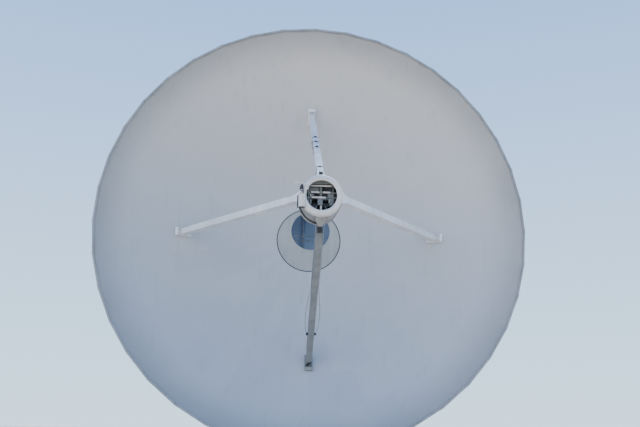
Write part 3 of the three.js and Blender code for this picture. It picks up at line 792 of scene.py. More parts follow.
girders = Bench()
flanges = (deck_low.z, deck_high.z - FLANGE_THICK)
for z in flanges:
    for x in (-MAIN_X, MAIN_X):
        far = (x + math.copysign(FLANGE_PROUD, x), main_y[1] + FLANGE_PROUD, z + FLANGE_THICK)
        girders.block((x, main_y[0] - FLANGE_PROUD, z), far)
    for y in main_y:
        girders.block((-MAIN_X, y, z), (MAIN_X, y + math.copysign(FLANGE_PROUD, y), z + FLANGE_THICK))
web = (deck_low.z + FLANGE_THICK, flanges[1])
count = round(2 * MAIN_X / STIFFENER_PITCH)
for i in range(count + 1):
    x = -MAIN_X + 0.05 + i * (2 * MAIN_X - 0.1) / count
    for y in main_y:
        far = (x + STIFFENER_HALF, y + math.copysign(STIFFENER_PROUD, y), web[1])
        girders.block((x - STIFFENER_HALF, y, web[0]), far)
for side in (-1, 1):
    for y in (main_y[0] + along for along in END_STIFFENERS):
        far = (side * (MAIN_X + STIFFENER_PROUD), y + STIFFENER_HALF, web[1])
        girders.block((side * MAIN_X, y - STIFFENER_HALF, web[0]), far)
    reach = side * deck_high.x
    for z in (wing_bottom, deck_high.z - 0.02):
        girders.block((reach, WING_Y[0], z), (reach + side * FLANGE_PROUD, WING_Y[1], z + 0.02))
    for step in range(4):
        y = WING_Y[0] + 0.25 + step * (WING_Y[1] - WING_Y[0] - 0.5) / 3
        knee = [(MAIN_X, deck_low.z + 0.06), (MAIN_X, wing_bottom), (deck_high.x - 0.25, wing_bottom)]
        girders.prism([(side * px, pz) for px, pz in knee], 0.0, 0.02, shift(y=y + 0.01) @ UPRIGHT)
girders.make("deck_girders", "turntable", "structure_paint", structure_paint, ease=0.003)

floor_plates = Bench()
top = deck_high.z
front_y, back_y = main_y
near, far = ARM_FOOT_X
house_x, house_front, house_back = HOUSE_CORNER
for x0, x1, y0, y1 in (
    (-MAIN_X, -far, front_y, back_y), (-near, 0.0, front_y, back_y), (0.0, near, front_y, back_y),
    (far, MAIN_X, front_y, house_front), (far, MAIN_X, house_back, back_y),
    (-far, -near, front_y, -ARM_FOOT_Y), (-far, -near, ARM_FOOT_Y, back_y),
    (near, far, front_y, -ARM_FOOT_Y), (near, far, ARM_FOOT_Y, back_y), (-deck_high.x, -MAIN_X, *WING_Y),
    (MAIN_X, deck_high.x, WING_Y[0], house_front - 0.02),
    (MAIN_X, deck_high.x, house_back + 0.02, WING_Y[1]),
    (house_x, deck_high.x, house_front, house_back),
):
    low = (x0 + CHEQUER_JOINT, y0 + CHEQUER_JOINT, top + 0.001)
    floor_plates.block(low, (x1 - CHEQUER_JOINT, y1 - CHEQUER_JOINT, top + CHEQUER_THICK))
floor_plates.make("chequer_plates", "turntable", "galvanised", chequer_plate(), ease=0.0015)


def railing(bench, path, height=RAIL_HEIGHT):
    """Posts, two rails and a toe board along a level path of corners."""
    for start, end in zip(path, path[1:]):
        start, end = Vector(start), Vector(end)
        along = (end - start).normalized()
        bays = max(1, round((end - start).length / POST_PITCH))
        for i in range(bays + 1):
            foot = start + (end - start) * i / bays
            bench.tube(foot, foot + UP * height, RAIL_RADIUS, 10)
            corner = Vector((POST_FOOT, POST_FOOT, 0))
            bench.block(foot - corner, foot + corner + UP * 0.01)
        for share in (MID_RAIL, 1.0):
            bench.tube(start + UP * height * share, end + UP * height * share, RAIL_RADIUS, 10)
        bench.bar(start + UP * TOE_HEIGHT * 0.55, end + UP * TOE_HEIGHT * 0.55, 0.005, TOE_HEIGHT)


rails = Bench()
front_y, back_y = main_y[0] + RAIL_INSET, main_y[1] - RAIL_INSET
wing_front, wing_back = WING_Y[0] + RAIL_INSET, WING_Y[1] - RAIL_INSET
edge_x, wing_x = MAIN_X - RAIL_INSET, deck_high.x - RAIL_INSET
floor_z = top + CHEQUER_THICK
for side in (-1, 1):
    corners = [
        (0, front_y), (edge_x, front_y), (edge_x, wing_front), (wing_x, wing_front), (wing_x, wing_back),
        (edge_x, wing_back), (edge_x, back_y), (GATE[1], back_y),
    ]
    railing(rails, [(side * x, y, floor_z) for x, y in corners])
for low_rail in ((-GATE[1], -GATE[0]), GATE):
    railing(rails, [(x, back_y, floor_z) for x in low_rail], LOW_RAIL)
rails.make("deck_rails", "turntable", "galvanised", zinc)


# Ladders: galvanised tube on stand-off brackets. One climbs the tower's back wall beside the door to the
# roof, and one hangs from the turntable's rear edge down to it.

LADDER_HALF = 0.21
STILE_RADIUS = 0.022
RUNG_RADIUS = 0.013
RUNG_PITCH = 0.28
CAGE_PITCH = 0.8
CAGE_HALF = 0.35
CAGE_DEPTH = 0.68
LADDER_OFF = 0.36
BRACKET_BAR = (0.01, 0.05)
BRACKET_ROOT = 2.9
TOWER_LADDER_X = 1.75
TOWER_LADDER_HEIGHT = 5.9
TOWER_BRACKETS = (0.9, 2.3, 3.7, 5.0)
HANGING_FOOT = 5.95
HANGING_OFF = 0.16


def ladder(bench, foot, height, wall, cage_from=None):
    """A vertical ladder. Wall points to what it is fixed to, and hoops guard it above a given height."""
    foot, wall = Vector(foot), Vector(wall)
    across = wall.cross(UP) * LADDER_HALF
    for side in (-1, 1):
        bench.tube(foot + across * side, foot + across * side + UP * height, STILE_RADIUS, 8)
    for rung in range(round(height / RUNG_PITCH) - 1):
        level = foot + UP * (rung + 0.8) * RUNG_PITCH
        bench.tube(level - across, level + across, RUNG_RADIUS, 8)
    if cage_from is None:
        return
    spread = [math.radians(a) for a in range(0, 181, 30)]
    sideways = across.normalized() * CAGE_HALF
    spots = [sideways * math.cos(a) - wall * (CAGE_DEPTH * math.sin(a)) for a in spread]
    for hoop in range(1 + round((height - cage_from) / CAGE_PITCH)):
        level = foot + UP * (cage_from + hoop * CAGE_PITCH)
        for a, b in zip(spots, spots[1:]):
            bench.bar(level + a, level + b, 0.008, 0.05)
    for spot in spots[1:-1:2]:
        bench.bar(foot + spot + UP * cage_from, foot + spot + UP * height, 0.04, 0.006, spot)


half_flat = wall_high.x * math.tan(math.pi / TOWER_SIDES)
wall_ladder = Bench()
ladder_y = wall_high.y + LADDER_OFF
ladder(wall_ladder, (TOWER_LADDER_X, ladder_y, plinth_top), TOWER_LADDER_HEIGHT, (0, -1, 0))
for z in TOWER_BRACKETS:
    for x in (TOWER_LADDER_X - LADDER_HALF, TOWER_LADDER_X + LADDER_HALF):
        wall_ladder.bar((x, BRACKET_ROOT, z), (x, ladder_y, z), *BRACKET_BAR)
        if abs(x) < half_flat:
            pad = (x + 0.05, wall_high.y + 0.01, z + 0.08)
            wall_ladder.block((x - 0.05, wall_high.y - 0.002, z - 0.08), pad)
wall_ladder.make("tower_ladder", "tower", "galvanised", zinc, ease=0.001)

hanging_ladder = Bench()
ladder_y = deck_high.y + HANGING_OFF
ladder(hanging_ladder, (0, ladder_y, HANGING_FOOT), floor_z + 0.95 - HANGING_FOOT, (0, -1, 0))
for z in (deck_low.z + 0.1, deck_high.z - 0.06):
    for x in (-LADDER_HALF, LADDER_HALF):
        hanging_ladder.bar((x, deck_high.y - 0.01, z), (x, ladder_y, z), *BRACKET_BAR)
hanging_ladder.make("deck_ladder", "turntable", "galvanised", zinc, ease=0.001)


# Arms: two tapered box columns that carry the dish. Flange plates run round their edges, with ribs across
# their webs, a bolted foot and a manhole. A caged ladder leads up the back to a platform at each bearing.

ARM_FLANGE = 0.026
ARM_LIP = 0.035
ARM_RIBS = (8.5, 9.7, 10.9, 12.1)
KNEE_HALF = 0.007
SOLE = 0.12
SOLE_THICK = 0.03
SOLE_BOLTS = (2.75, 3.0, 3.25)
HATCH_LEVEL = 11.5
PLATFORM = {"level": 12.95, "thick": 0.08, "front": -0.95, "back": 1.95, "out": 1.0, "stair": 1.1}
PLATFORM_EDGE = 0.012
STRUT = 0.06
STRUTS = (-0.7, 0.05, 0.8)
ARM_LADDER_X = 2.95
ARM_BRACKETS = (8.6, 9.9, 11.2, 12.4)
CAGE_FROM = 2.3

arm_low, arm_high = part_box("arm_right")
bearing_low, bearing_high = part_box("bearing_right")
axis_height = (bearing_low.z + bearing_high.z) / 2
crown = arm_high.z - axis_height
arm_foot = arm_high.y
sole_top = arm_low.z + SOLE_THICK
shoulder = math.radians(10)


def round_edges(node, width, segments=1, harden=False):
    """Eases the sharp edges of a CAD piece."""
    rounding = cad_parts[node].modifiers.new("ease", "BEVEL")
    rounding.width = width
    rounding.segments = segments
    rounding.limit_method = "ANGLE"
    rounding.harden_normals = harden


def arm_edge(z):
    """Half of an arm's width at a height below its shoulder."""
    shoulder_y, shoulder_z = crown * math.cos(shoulder), axis_height - crown * math.sin(shoulder)
    return arm_foot + (shoulder_y - arm_foot) * (z - arm_low.z) / (shoulder_z - arm_low.z)


def manhole(bench, at, half, bolts, width):
    """An oval cover on a face, with bolts near its edge."""
    bench.prism([(x * half[0], y * half[1]) for x, y in circle(1.0, 2 * bolts)], 0.0, 0.02, at)
    for x, y in circle(1.0, bolts, math.pi / bolts):
        bench.bolt(at @ Vector((x * (half[0] - 0.03), y * (half[1] - 0.03), 0.02)), at.to_3x3() @ UP, width)


dress(structure_paint, "arm_right", "arm_left")
for side, place in SIDES.items():
    round_edges(f"arm_{side}", 0.008)
    plates = Bench(place)
    turns = [-shoulder + i * (math.pi + 2 * shoulder) / 24 for i in range(25)]
    lips = (arm_low.x - ARM_LIP, arm_high.x + ARM_LIP)
    edges = []
    for lift in (ARM_FLANGE, 0.0):
        radius = crown + lift
        path = [(radius * math.cos(a), axis_height + radius * math.sin(a)) for a in turns]
        path = [(arm_foot + lift, sole_top), *path, (-arm_foot - lift, sole_top)]
        edges.append([[(x, y, z) for x in lips] for y, z in path])
    plates.shell(*edges)
    for z in ARM_RIBS:
        half = arm_edge(z)
        for x in (arm_low.x - ARM_LIP + 0.004, arm_high.x):
            plates.block((x, -half, z), (x + ARM_LIP - 0.004, half, z + 0.014))
    for x, outward in ((arm_low.x, -1), (arm_high.x, 1)):
        plates.block((x, -arm_foot - SOLE, arm_low.z), (x + outward * SOLE, arm_foot + SOLE, sole_top))
        for step in range(13):
            y = (step - 6) * arm_foot / 6.2
            plates.bolt((x + outward * 0.07, y, sole_top), UP, 0.05)
            if step % 2:
                knee = [(x, sole_top), (x + outward * 0.11, sole_top), (x, arm_low.z + 0.3)]
                plates.prism(knee, -KNEE_HALF, KNEE_HALF, shift(y=y + 0.16) @ UPRIGHT)
    for y in (-arm_foot - SOLE, arm_foot):
        plates.block((arm_low.x - SOLE, y, arm_low.z), (arm_high.x + SOLE, y + SOLE, sole_top))
        for x in SOLE_BOLTS:
            plates.bolt((x, y + SOLE / 2 + math.copysign(0.02, y), sole_top), UP, 0.05)
    plates.make(f"arm_plates_{side}", "turntable", "structure_paint", structure_paint, ease=0.003)

    access = Bench(place)
    hatch_at = aim((arm_high.x, 0, HATCH_LEVEL), (arm_high.x + 1, 0, HATCH_LEVEL))
    manhole(access, hatch_at, (0.3, 0.42), 16, 0.028)
    level, front_y, back_y = PLATFORM["level"], PLATFORM["front"], PLATFORM["back"]
    bottom = level - PLATFORM["thick"]
    deck_x, out_x = arm_high.x + 0.04, arm_high.x + PLATFORM["out"]
    stair_x = arm_low.x + 0.08
    for x0, y0, x1 in ((deck_x, front_y, out_x), (stair_x, PLATFORM["stair"], deck_x)):
        access.block((x0, y0, level - 0.02), (x1, back_y, level))
        for y in (y0, back_y - PLATFORM_EDGE):
            access.block((x0, y, bottom), (x1, y + PLATFORM_EDGE, level + 0.08))
        access.block((x1 - PLATFORM_EDGE, y0, bottom), (x1, back_y, level - 0.02))
    for y in STRUTS:
        foot, tip = (arm_high.x + 0.01, y, level - 0.75), (arm_high.x + 0.92, y, level - 0.07)
        access.bar(foot, tip, STRUT, STRUT)
        access.bar((arm_high.x, y, level - 0.05), (out_x - 0.02, y, level - 0.05), STRUT, STRUT)
    for x in (stair_x + 0.1, arm_high.x - 0.1):
        foot, tip = (x, arm_edge(level - 0.7), level - 0.75), (x, back_y - 0.08, level - 0.07)
        access.bar(foot, tip, STRUT, STRUT)
    near, far, edge_x = front_y + 0.04, back_y - 0.04, out_x - 0.04
    corners = ((arm_high.x + 0.12, near), (edge_x, near), (edge_x, far), (arm_high.x - 0.1, far))
    railing(access, [(x, y, level) for x, y in corners])
    ladder_y = back_y + 0.06
    ladder(access, (ARM_LADDER_X, ladder_y, floor_z), level + 1.0 - floor_z, (0, -1, 0), CAGE_FROM)
    for z in ARM_BRACKETS:
        for x in (ARM_LADDER_X - LADDER_HALF, ARM_LADDER_X + LADDER_HALF):
            access.bar((x, arm_edge(z), z), (x, ladder_y, z), *BRACKET_BAR)
    access.make(f"arm_access_{side}", "turntable", "galvanised", zinc, ease=0.0015)


# Trunnion bearings: cast housings bolted to the arms' outer faces, with webs and a domed cover, over the
# ends of the dish's trunnions.

BEARING_WEBS = 12
CABIN_WHITE = (0.70, 0.67, 0.62, 1.0)
CABIN_WORN = (0.56, 0.53, 0.48, 1.0)

cabin_paint = painted_steel("cabin_paint", CABIN_WHITE, CABIN_WORN, 0.4, 0.15)
cap = bearing_high.x - bearing_low.x
for side, place in SIDES.items():
    bearing = Bench(place @ aim((bearing_low.x, 0, axis_height), (bearing_low.x + 1, 0, axis_height)))
    bearing.turned([
        (0.0, 0.0), (0.70, 0.0), (0.70, 0.05), (0.60, 0.07), (0.585, 0.20), (0.62, 0.21), (0.62, 0.26),
        (0.50, 0.275), (0.42, cap - 0.01), (0.20, cap), (0.0, cap),
    ], 64, loop=False)
    bearing.bolt_ring(shift(z=0.05), 0.66, 24, 0.045)
    bearing.bolt_ring(shift(z=0.26), 0.565, 20, 0.034)
    for i in range(BEARING_WEBS):
        web = [(0.57, 0.05), (0.69, 0.05), (0.60, 0.2)]
        bearing.prism(web, -0.008, 0.008, spin(i, BEARING_WEBS) @ UPRIGHT)
    bearing.tube((0.3, 0.0, 0.25), (0.3, 0.0, cap + 0.015), 0.02, 10)
    stood_for = [f"bearing_{side}"]
    bearing.make(f"bearing_cap_{side}", "turntable", "cabin_paint", cabin_paint, stood_for, ease=0.002)


# Drive house: a plant room of ribbed steel sheet on the right wing, with a flat roof, a door to the deck in
# front, two louvres and three roof vents.

RIB_PITCH = 0.2
RIB_DEEP = 0.022
ROOF_LAP = 0.08
HOUSE_DOOR = (0.12, 0.92)
HOUSE_HINGES = (0.3, 1.1, 1.85)
LOUVRE = {"half": 0.4, "sill": 1.3, "rise": 0.56, "blades": 9, "pitch": 0.0615, "tilt": 0.7}
LOUVRES = (-0.55, 0.65)
VENT_X = 4.65
VENTS = (-0.6, 0.2, 1.0)
HOUSE_WHITE = (0.47, 0.475, 0.475, 1.0)
HOUSE_WORN = (0.34, 0.345, 0.335, 1.0)

house_paint = painted_steel("house_paint", HOUSE_WHITE, HOUSE_WORN, 0.42, 0.3)
(left_x, front_y, base_z), (right_x, back_y, roof_z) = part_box("drive_house")
corners = ((left_x, front_y), (right_x, front_y), (right_x, back_y), (left_x, back_y))
cladding = []
for start, end in zip(corners, corners[1:] + corners[:1]):
    start, end = Vector(start), Vector(end)
    along = (end - start).normalized()
    inward = Vector((-along.y, along.x)) * RIB_DEEP
    ribs = round((end - start).length / RIB_PITCH)
    pitch = (end - start).length / ribs
    for i in range(ribs):
        for share, deep in ((0.0, 0), (0.36, 0), (0.46, 1), (0.90, 1)):
            cladding.append(start + along * pitch * (i + share) + inward * deep)
house = Bench()
house.prism(cladding, base_z + 0.06, roof_z - 0.1)
for lap, low, high in ((0.01, base_z, base_z + 0.09), (ROOF_LAP, roof_z - 0.12, roof_z - 0.01)):
    house.block((left_x - lap, front_y - lap, low), (right_x + lap, back_y + lap, high))
house.make("plant_room", "turntable", "structure_paint", house_paint, ["drive_house"], ease=0.002)

details = Bench()
near, far = (left_x + x for x in HOUSE_DOOR)
details.block((near - 0.05, front_y - 0.02, base_z + 0.09), (far + 0.05, front_y + 0.03, base_z + 2.12))
details.block((near, front_y - 0.034, base_z + 0.12), (far, front_y - 0.018, base_z + 2.07))
handle = Vector((far - 0.08, front_y - 0.03, base_z + 1.1))
details.tube(handle, handle - Vector((0, 0.05, 0)), 0.012)
details.tube(handle - Vector((0, 0.045, 0)), handle - Vector((0.12, 0.045, 0)), 0.011)
for z in HOUSE_HINGES:
    hinge = Vector((near + 0.005, front_y - 0.036, base_z + z))
    details.tube(hinge, hinge + UP * 0.1, 0.012)
sill, half, head = base_z + LOUVRE["sill"], LOUVRE["half"], base_z + LOUVRE["sill"] + LOUVRE["rise"]
for y in LOUVRES:
    for z in (sill - 0.04, head):
        details.block((right_x - 0.01, y - half, z), (right_x + 0.02, y + half, z + 0.04))
    for jamb in (y - half, y + half - 0.03):
        details.block((right_x - 0.01, jamb, sill), (right_x + 0.02, jamb + 0.03, head))
    for blade in range(LOUVRE["blades"]):
        at = shift(right_x + 0.004, y, sill + 0.03 + blade * LOUVRE["pitch"])
        at = at @ Matrix.Rotation(LOUVRE["tilt"], 4, "Y")
        details.block((-0.028, -0.37, -0.001), (0.028, 0.37, 0.002), at)
for y in VENTS:
    details.tube((VENT_X, y, roof_z - 0.02), (VENT_X, y, roof_z + 0.10), 0.11, 24)
    details.tube((VENT_X, y, roof_z + 0.10), (VENT_X, y, roof_z + 0.13), 0.19, 24, 0.15)
details.make("plant_room_fittings", "turntable", "galvanised", zinc, ease=0.0015)


# Cradle: a welded box girder with a trunnion at each side and two tail beams. Flat ribs stiffen its faces,
# its tails have flanges, and a manhole in its back is closed by a bolted plate.

RIB_THICK = 0.016
RIB_PROUD = 0.08
CROSS_RIBS = (-1.25, -0.75, 0.7)
LONG_RIBS = (-1.3, -0.65, 0.0, 0.65, 1.3)
BOX_X = 1.7
BOX_Z = 1.45
BOX_BACK = 0.9
TAIL_HALF = 0.25
TAIL_X = 1.25
TAIL_TOP = 0.75
TAIL_FLANGE = 0.05
TRUNNION = 0.35
TRUNNION_END = 2.58

hub_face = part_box("cradle")[0].y
weight_low, weight_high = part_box("counterweight")
gear_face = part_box("elevation_gear")[1].x
dress(structure_paint, "cradle", "counterweight", "hub", *[f"backing_frame_{i}" for i in range(1, 5)])
round_edges("cradle", 0.006)

about_axis = shift(z=axis_height)
cradle = Bench(about_axis)
for y in CROSS_RIBS:
    for z in (-BOX_Z - RIB_PROUD, BOX_Z):
        cradle.block((-BOX_X, y, z), (BOX_X, y + RIB_THICK, z + RIB_PROUD))
    for x in (-BOX_X - RIB_PROUD, BOX_X):
        cradle.block((x, y, -BOX_Z), (x + RIB_PROUD, y + RIB_THICK, BOX_Z))
for x in LONG_RIBS:
    for z in (-BOX_Z - 0.05, BOX_Z):
        cradle.block((x, hub_face + 0.01, z), (x + RIB_THICK, BOX_BACK, z + 0.05))
manhole(cradle, aim((0, BOX_BACK, 0.55), (0, BOX_BACK + 1, 0.55)), (0.34, 0.44), 18, 0.03)
half = TAIL_HALF + TAIL_FLANGE
for x in (-TAIL_X, TAIL_X):
    for z in (-TAIL_TOP - 0.02, TAIL_TOP):
        cradle.block((x - half, BOX_BACK, z), (x + half, weight_low.y - 0.001, z + 0.02))
    for step in range(4):
        y = BOX_BACK + 0.35 + step * 0.5
        for face in (x - half, x + TAIL_HALF):
            cradle.block((face, y, -TAIL_TOP), (face + TAIL_FLANGE, y + RIB_THICK, TAIL_TOP))
    y = weight_low.y - 0.031
    cradle.block((x - 0.37, y, -TAIL_TOP - 0.12), (x + 0.37, y + 0.03, TAIL_TOP + 0.12))
    for step in range(-3, 4):
        for bolt_x in (x - 0.33, x + 0.33):
            cradle.bolt((bolt_x, y, step * 0.22), (0, -1, 0), 0.045)
cradle.make("cradle_plates", "dish", "structure_paint", structure_paint, ease=0.002)

trunnions = Bench(about_axis)
for side in (-1, 1):
    inner = BOX_X if side < 0 else gear_face + 0.002
    at = aim((side * inner, 0, 0), (side * 3, 0, 0))
    trunnions.hoop(0.3, TRUNNION + 0.003, 0.0, TRUNNION_END - inner, 64, at)
    if side < 0:
        shrink_ring = [(0.34, 0.0), (0.62, 0.0), (0.62, 0.05), (0.44, 0.09), (0.42, 0.22), (0.34, 0.24)]
        trunnions.turned(shrink_ring, 64, at)
        trunnions.bolt_ring(at @ shift(z=0.05), 0.55, 20, 0.045)
trunnions.make("trunnion_sleeves", "dish", "dark_steel", machine_steel)


# Counterweight: a steel box filled with iron and concrete at the end of the tails. Ribs stiffen its sides,
# the covers of its filling hatches are bolted down, and it has four lifting eyes.

WEIGHT_RIB = 0.045
WEIGHT_MARGIN = 0.04
HATCH_X = 1.0
HATCH_HALF = 0.52
HATCH_Y = (3.9, 5.1)
EYE_X = 1.75
EYE_Y = (3.45, 5.7)

(left_x, front_y, low_z), (right_x, back_y, high_z) = weight_low, weight_high
rib_top_z = high_z + WEIGHT_RIB
band = WEIGHT_RIB + 0.005
spare = 2 * WEIGHT_MARGIN + RIB_THICK
weight = Bench()
for step in range(9):
    x = left_x + WEIGHT_MARGIN + step * (right_x - left_x - spare) / 8
    weight.block((x, back_y, low_z), (x + RIB_THICK, back_y + WEIGHT_RIB, high_z))
    for z in (low_z - WEIGHT_RIB, high_z):
        weight.block((x, front_y, z), (x + RIB_THICK, back_y, z + WEIGHT_RIB))
for step in range(6):
    y = front_y + WEIGHT_MARGIN + step * (back_y - front_y - spare) / 5
    for x in (left_x - WEIGHT_RIB, right_x):
        weight.block((x, y, low_z), (x + WEIGHT_RIB, y + RIB_THICK, high_z))
for z in (low_z - 0.008, (low_z + high_z) / 2, high_z - 0.008):
    weight.block((left_x - band, front_y, z), (right_x + band, back_y + band, z + RIB_THICK))
for x in (-HATCH_X, HATCH_X):
    lid = rib_top_z + 0.012
    weight.block((x - HATCH_HALF, HATCH_Y[0], high_z), (x + HATCH_HALF, HATCH_Y[1], lid))
    for i in range(7):
        for y in (HATCH_Y[0] + 0.06, HATCH_Y[1] - 0.06):
            weight.bolt((x - 0.45 + i * 0.15, y, lid), UP, 0.03)
    for i in range(6):
        for edge_x in (x - 0.46, x + 0.46):
            weight.bolt((edge_x, HATCH_Y[0] + 0.21 + i * 0.16, lid), UP, 0.03)
for x in (-EYE_X, EYE_X):
    for y in EYE_Y:
        weight.block((x - 0.12, y - 0.015, high_z), (x + 0.12, y + 0.015, rib_top_z + 0.04))
        eye = shift(x, y, rib_top_z + 0.1) @ UPRIGHT
        weight.collar(circle(0.12, 24), circle(0.05, 24), -0.02, 0.02, eye)
weight.make("counterweight_plates", "dish", "structure_paint", structure_paint, ease=0.002)


# Elevation gear: a cut steel rack bolted round a quarter rim, from straight down to straight back, and the
# pinion below it, on a shaft that comes out of the right arm.

GEAR_PITCH = math.radians(88) / 37
GEAR_ROOT = 3.003
GEAR_TIP = 3.074
RACK_THICK = 0.16
RACK_INNER = 2.95
PINION_TEETH = 11
PINION_ROOT = 0.181
PINION_TIP = 0.25
FACE_DOWN = Matrix.Rotation(math.pi, 4, "X")

dress(machine_steel, "elevation_gear")
gear_back = gear_face - RACK_THICK
near, far = gear_back - 0.001, gear_face + 0.001
teeth = Bench()
rows = []
for tooth in range(-2, 41):
    for share, radius in ((-0.29, GEAR_ROOT), (-0.13, GEAR_TIP), (0.13, GEAR_TIP), (0.29, GEAR_ROOT)):
        turn = (tooth + share) * GEAR_PITCH
        y, z = math.sin(turn), -math.cos(turn)
        corners = ((near, RACK_INNER), (near, radius), (far, radius), (far, RACK_INNER))
        rows.append([(x, y * r, axis_height + z * r) for x, r in corners])
teeth.loft(rows)
for bolt in range(22):
    turn = math.radians(-3 + bolt * 4.6)
    for radius in (2.7, 2.88):
        spot = Vector((gear_face, math.sin(turn) * radius, axis_height - math.cos(turn) * radius))
        teeth.bolt(spot, (1, 0, 0), 0.04)
teeth.bolt_ring(aim((gear_face, 0, axis_height), (gear_face + 1, 0, axis_height)), 0.5, 20, 0.05)
teeth.make("elevation_rack", "dish", "dark_steel", machine_steel)

pinion_low, pinion_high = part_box("elevation_pinion")
pinion_z = (pinion_low.z + pinion_high.z) / 2
pinion = Bench(aim((gear_back, 0, pinion_z), (gear_back + 1, 0, pinion_z)))
start = math.pi / 2 + math.pi / PINION_TEETH
pinion.prism(toothed(PINION_ROOT, PINION_TIP, PINION_TEETH, start), 0.0, 0.18)
pinion.tube((0, 0, 0.18), (0, 0, 0.2), 0.17, 40)
pinion.tube((0, 0, 0.2), (0, 0, pinion_high.x - gear_back), 0.13, 40)
pinion.hoop(0.12, 0.24, 0.40, 0.46, 40)
pinion.bolt_ring(shift(z=0.40) @ FACE_DOWN, 0.2, 10, 0.03)
pinion.make("pinion", "turntable", "dark_steel", machine_steel, ["elevation_pinion"])


# Hub: a twenty-sided steel drum on the cradle's front. Each rib is bolted to one of its flats through an end
# plate, and flat rings stiffen both of its rims.

VERTEX_FORWARD = 3.6
RIBS = 20
HUB_FLAT = 1.84
HUB_FRONT = 0.033
HUB_BACK = -2.067
END_PLATE = 0.022

# On the dish, x is to the right, y is up and z is forward of the bowl's vertex.
dish_place = Matrix(((1, 0, 0, 0), (0, 0, -1, -VERTEX_FORWARD), (0, 1, 0, axis_height), (0, 0, 0, 1)))
rib_angle = 2 * math.pi / RIBS


hub = Bench(dish_place)
corner = HUB_FLAT / math.cos(rib_angle / 2)
outer, inner = circle(corner + 0.07, RIBS, rib_angle / 2), circle(corner - 0.02, RIBS, rib_angle / 2)
for z in (HUB_BACK + 0.004, HUB_FRONT - 0.06):
    hub.collar(outer, inner, z, z + 0.03)
face = HUB_FLAT + END_PLATE
for i in range(RIBS):
    flat = spin(i, RIBS)
    hub.block((HUB_FLAT - 0.002, -0.17, HUB_BACK + 0.06), (face, 0.17, HUB_FRONT - 0.09), flat)
    for y in (-0.13, 0.13):
        for k in range(8):
            hub.bolt(flat @ Vector((face, y, HUB_BACK + 0.16 + k * 0.25)), flat @ Vector((1, 0, 0)), 0.036)
hub.make("hub_plates", "dish", "structure_paint", structure_paint, ease=0.002)


# Backing frame: welded ribs and hoops, with a gusset at each joint, tension rods crossed in the bays, and
# rings of folded purlin and radial angles on top that carry the sheets.

FOCAL_LENGTH = 10.15
STATIONS = (1.96, 4.0, 6.2, 8.3, 10.4, 12.5)
RIB_TIP = 12.425
RIB_HALF = 0.09
RIB_DEPTHS = (2.0, 0.25)
SKIN = 0.0806
GUSSET = 0.01
GUSSET_HALF = (0.34, 0.2)
GUSSET_DEEP = 0.36
ROD = 0.016
FIRST_ROD = 2.3
ROD_COUPLING = 0.09
PURLINS = (1.99, 3.0, 4.0, 5.1, 6.2, 7.25, 8.3, 9.35, 10.4, 11.4, 12.3)
PURLIN_HALF = 0.035
PURLIN_DROP = 0.008
PURLIN_SHEET = 0.004
RADIAL_LEGS = ((0.03, 0.005), (0.004, 0.045))
RADIAL_END = 12.38


def bowl(radius):
    """How far forward of the vertex the bowl's face is, at a distance from its axis."""
    return radius * radius / (4 * FOCAL_LENGTH)


def on_bowl(radius, angle, lift=0.0):
    return Vector((radius * math.cos(angle), radius * math.sin(angle), bowl(radius) + lift))


def rib_top(radius):
    """The height of a rib's upper edge, which is straight between stations."""
    k = max(i for i, station in enumerate(STATIONS[:-1]) if station <= max(radius, STATIONS[0]))
    near, far = STATIONS[k], STATIONS[k + 1]
    share = max(0.0, (radius - near) / (far - near))
    return bowl(near) + share * (bowl(far) - bowl(near)) - SKIN


def rib_bottom(radius):
    depth = RIB_DEPTHS[0] + (RIB_DEPTHS[1] - RIB_DEPTHS[0]) * (radius - HUB_FLAT) / (RIB_TIP - HUB_FLAT)
    return rib_top(radius) - depth


def at_rib(radius, rib, height):
    return Vector((radius * math.cos(rib * rib_angle), radius * math.sin(rib * rib_angle), height))


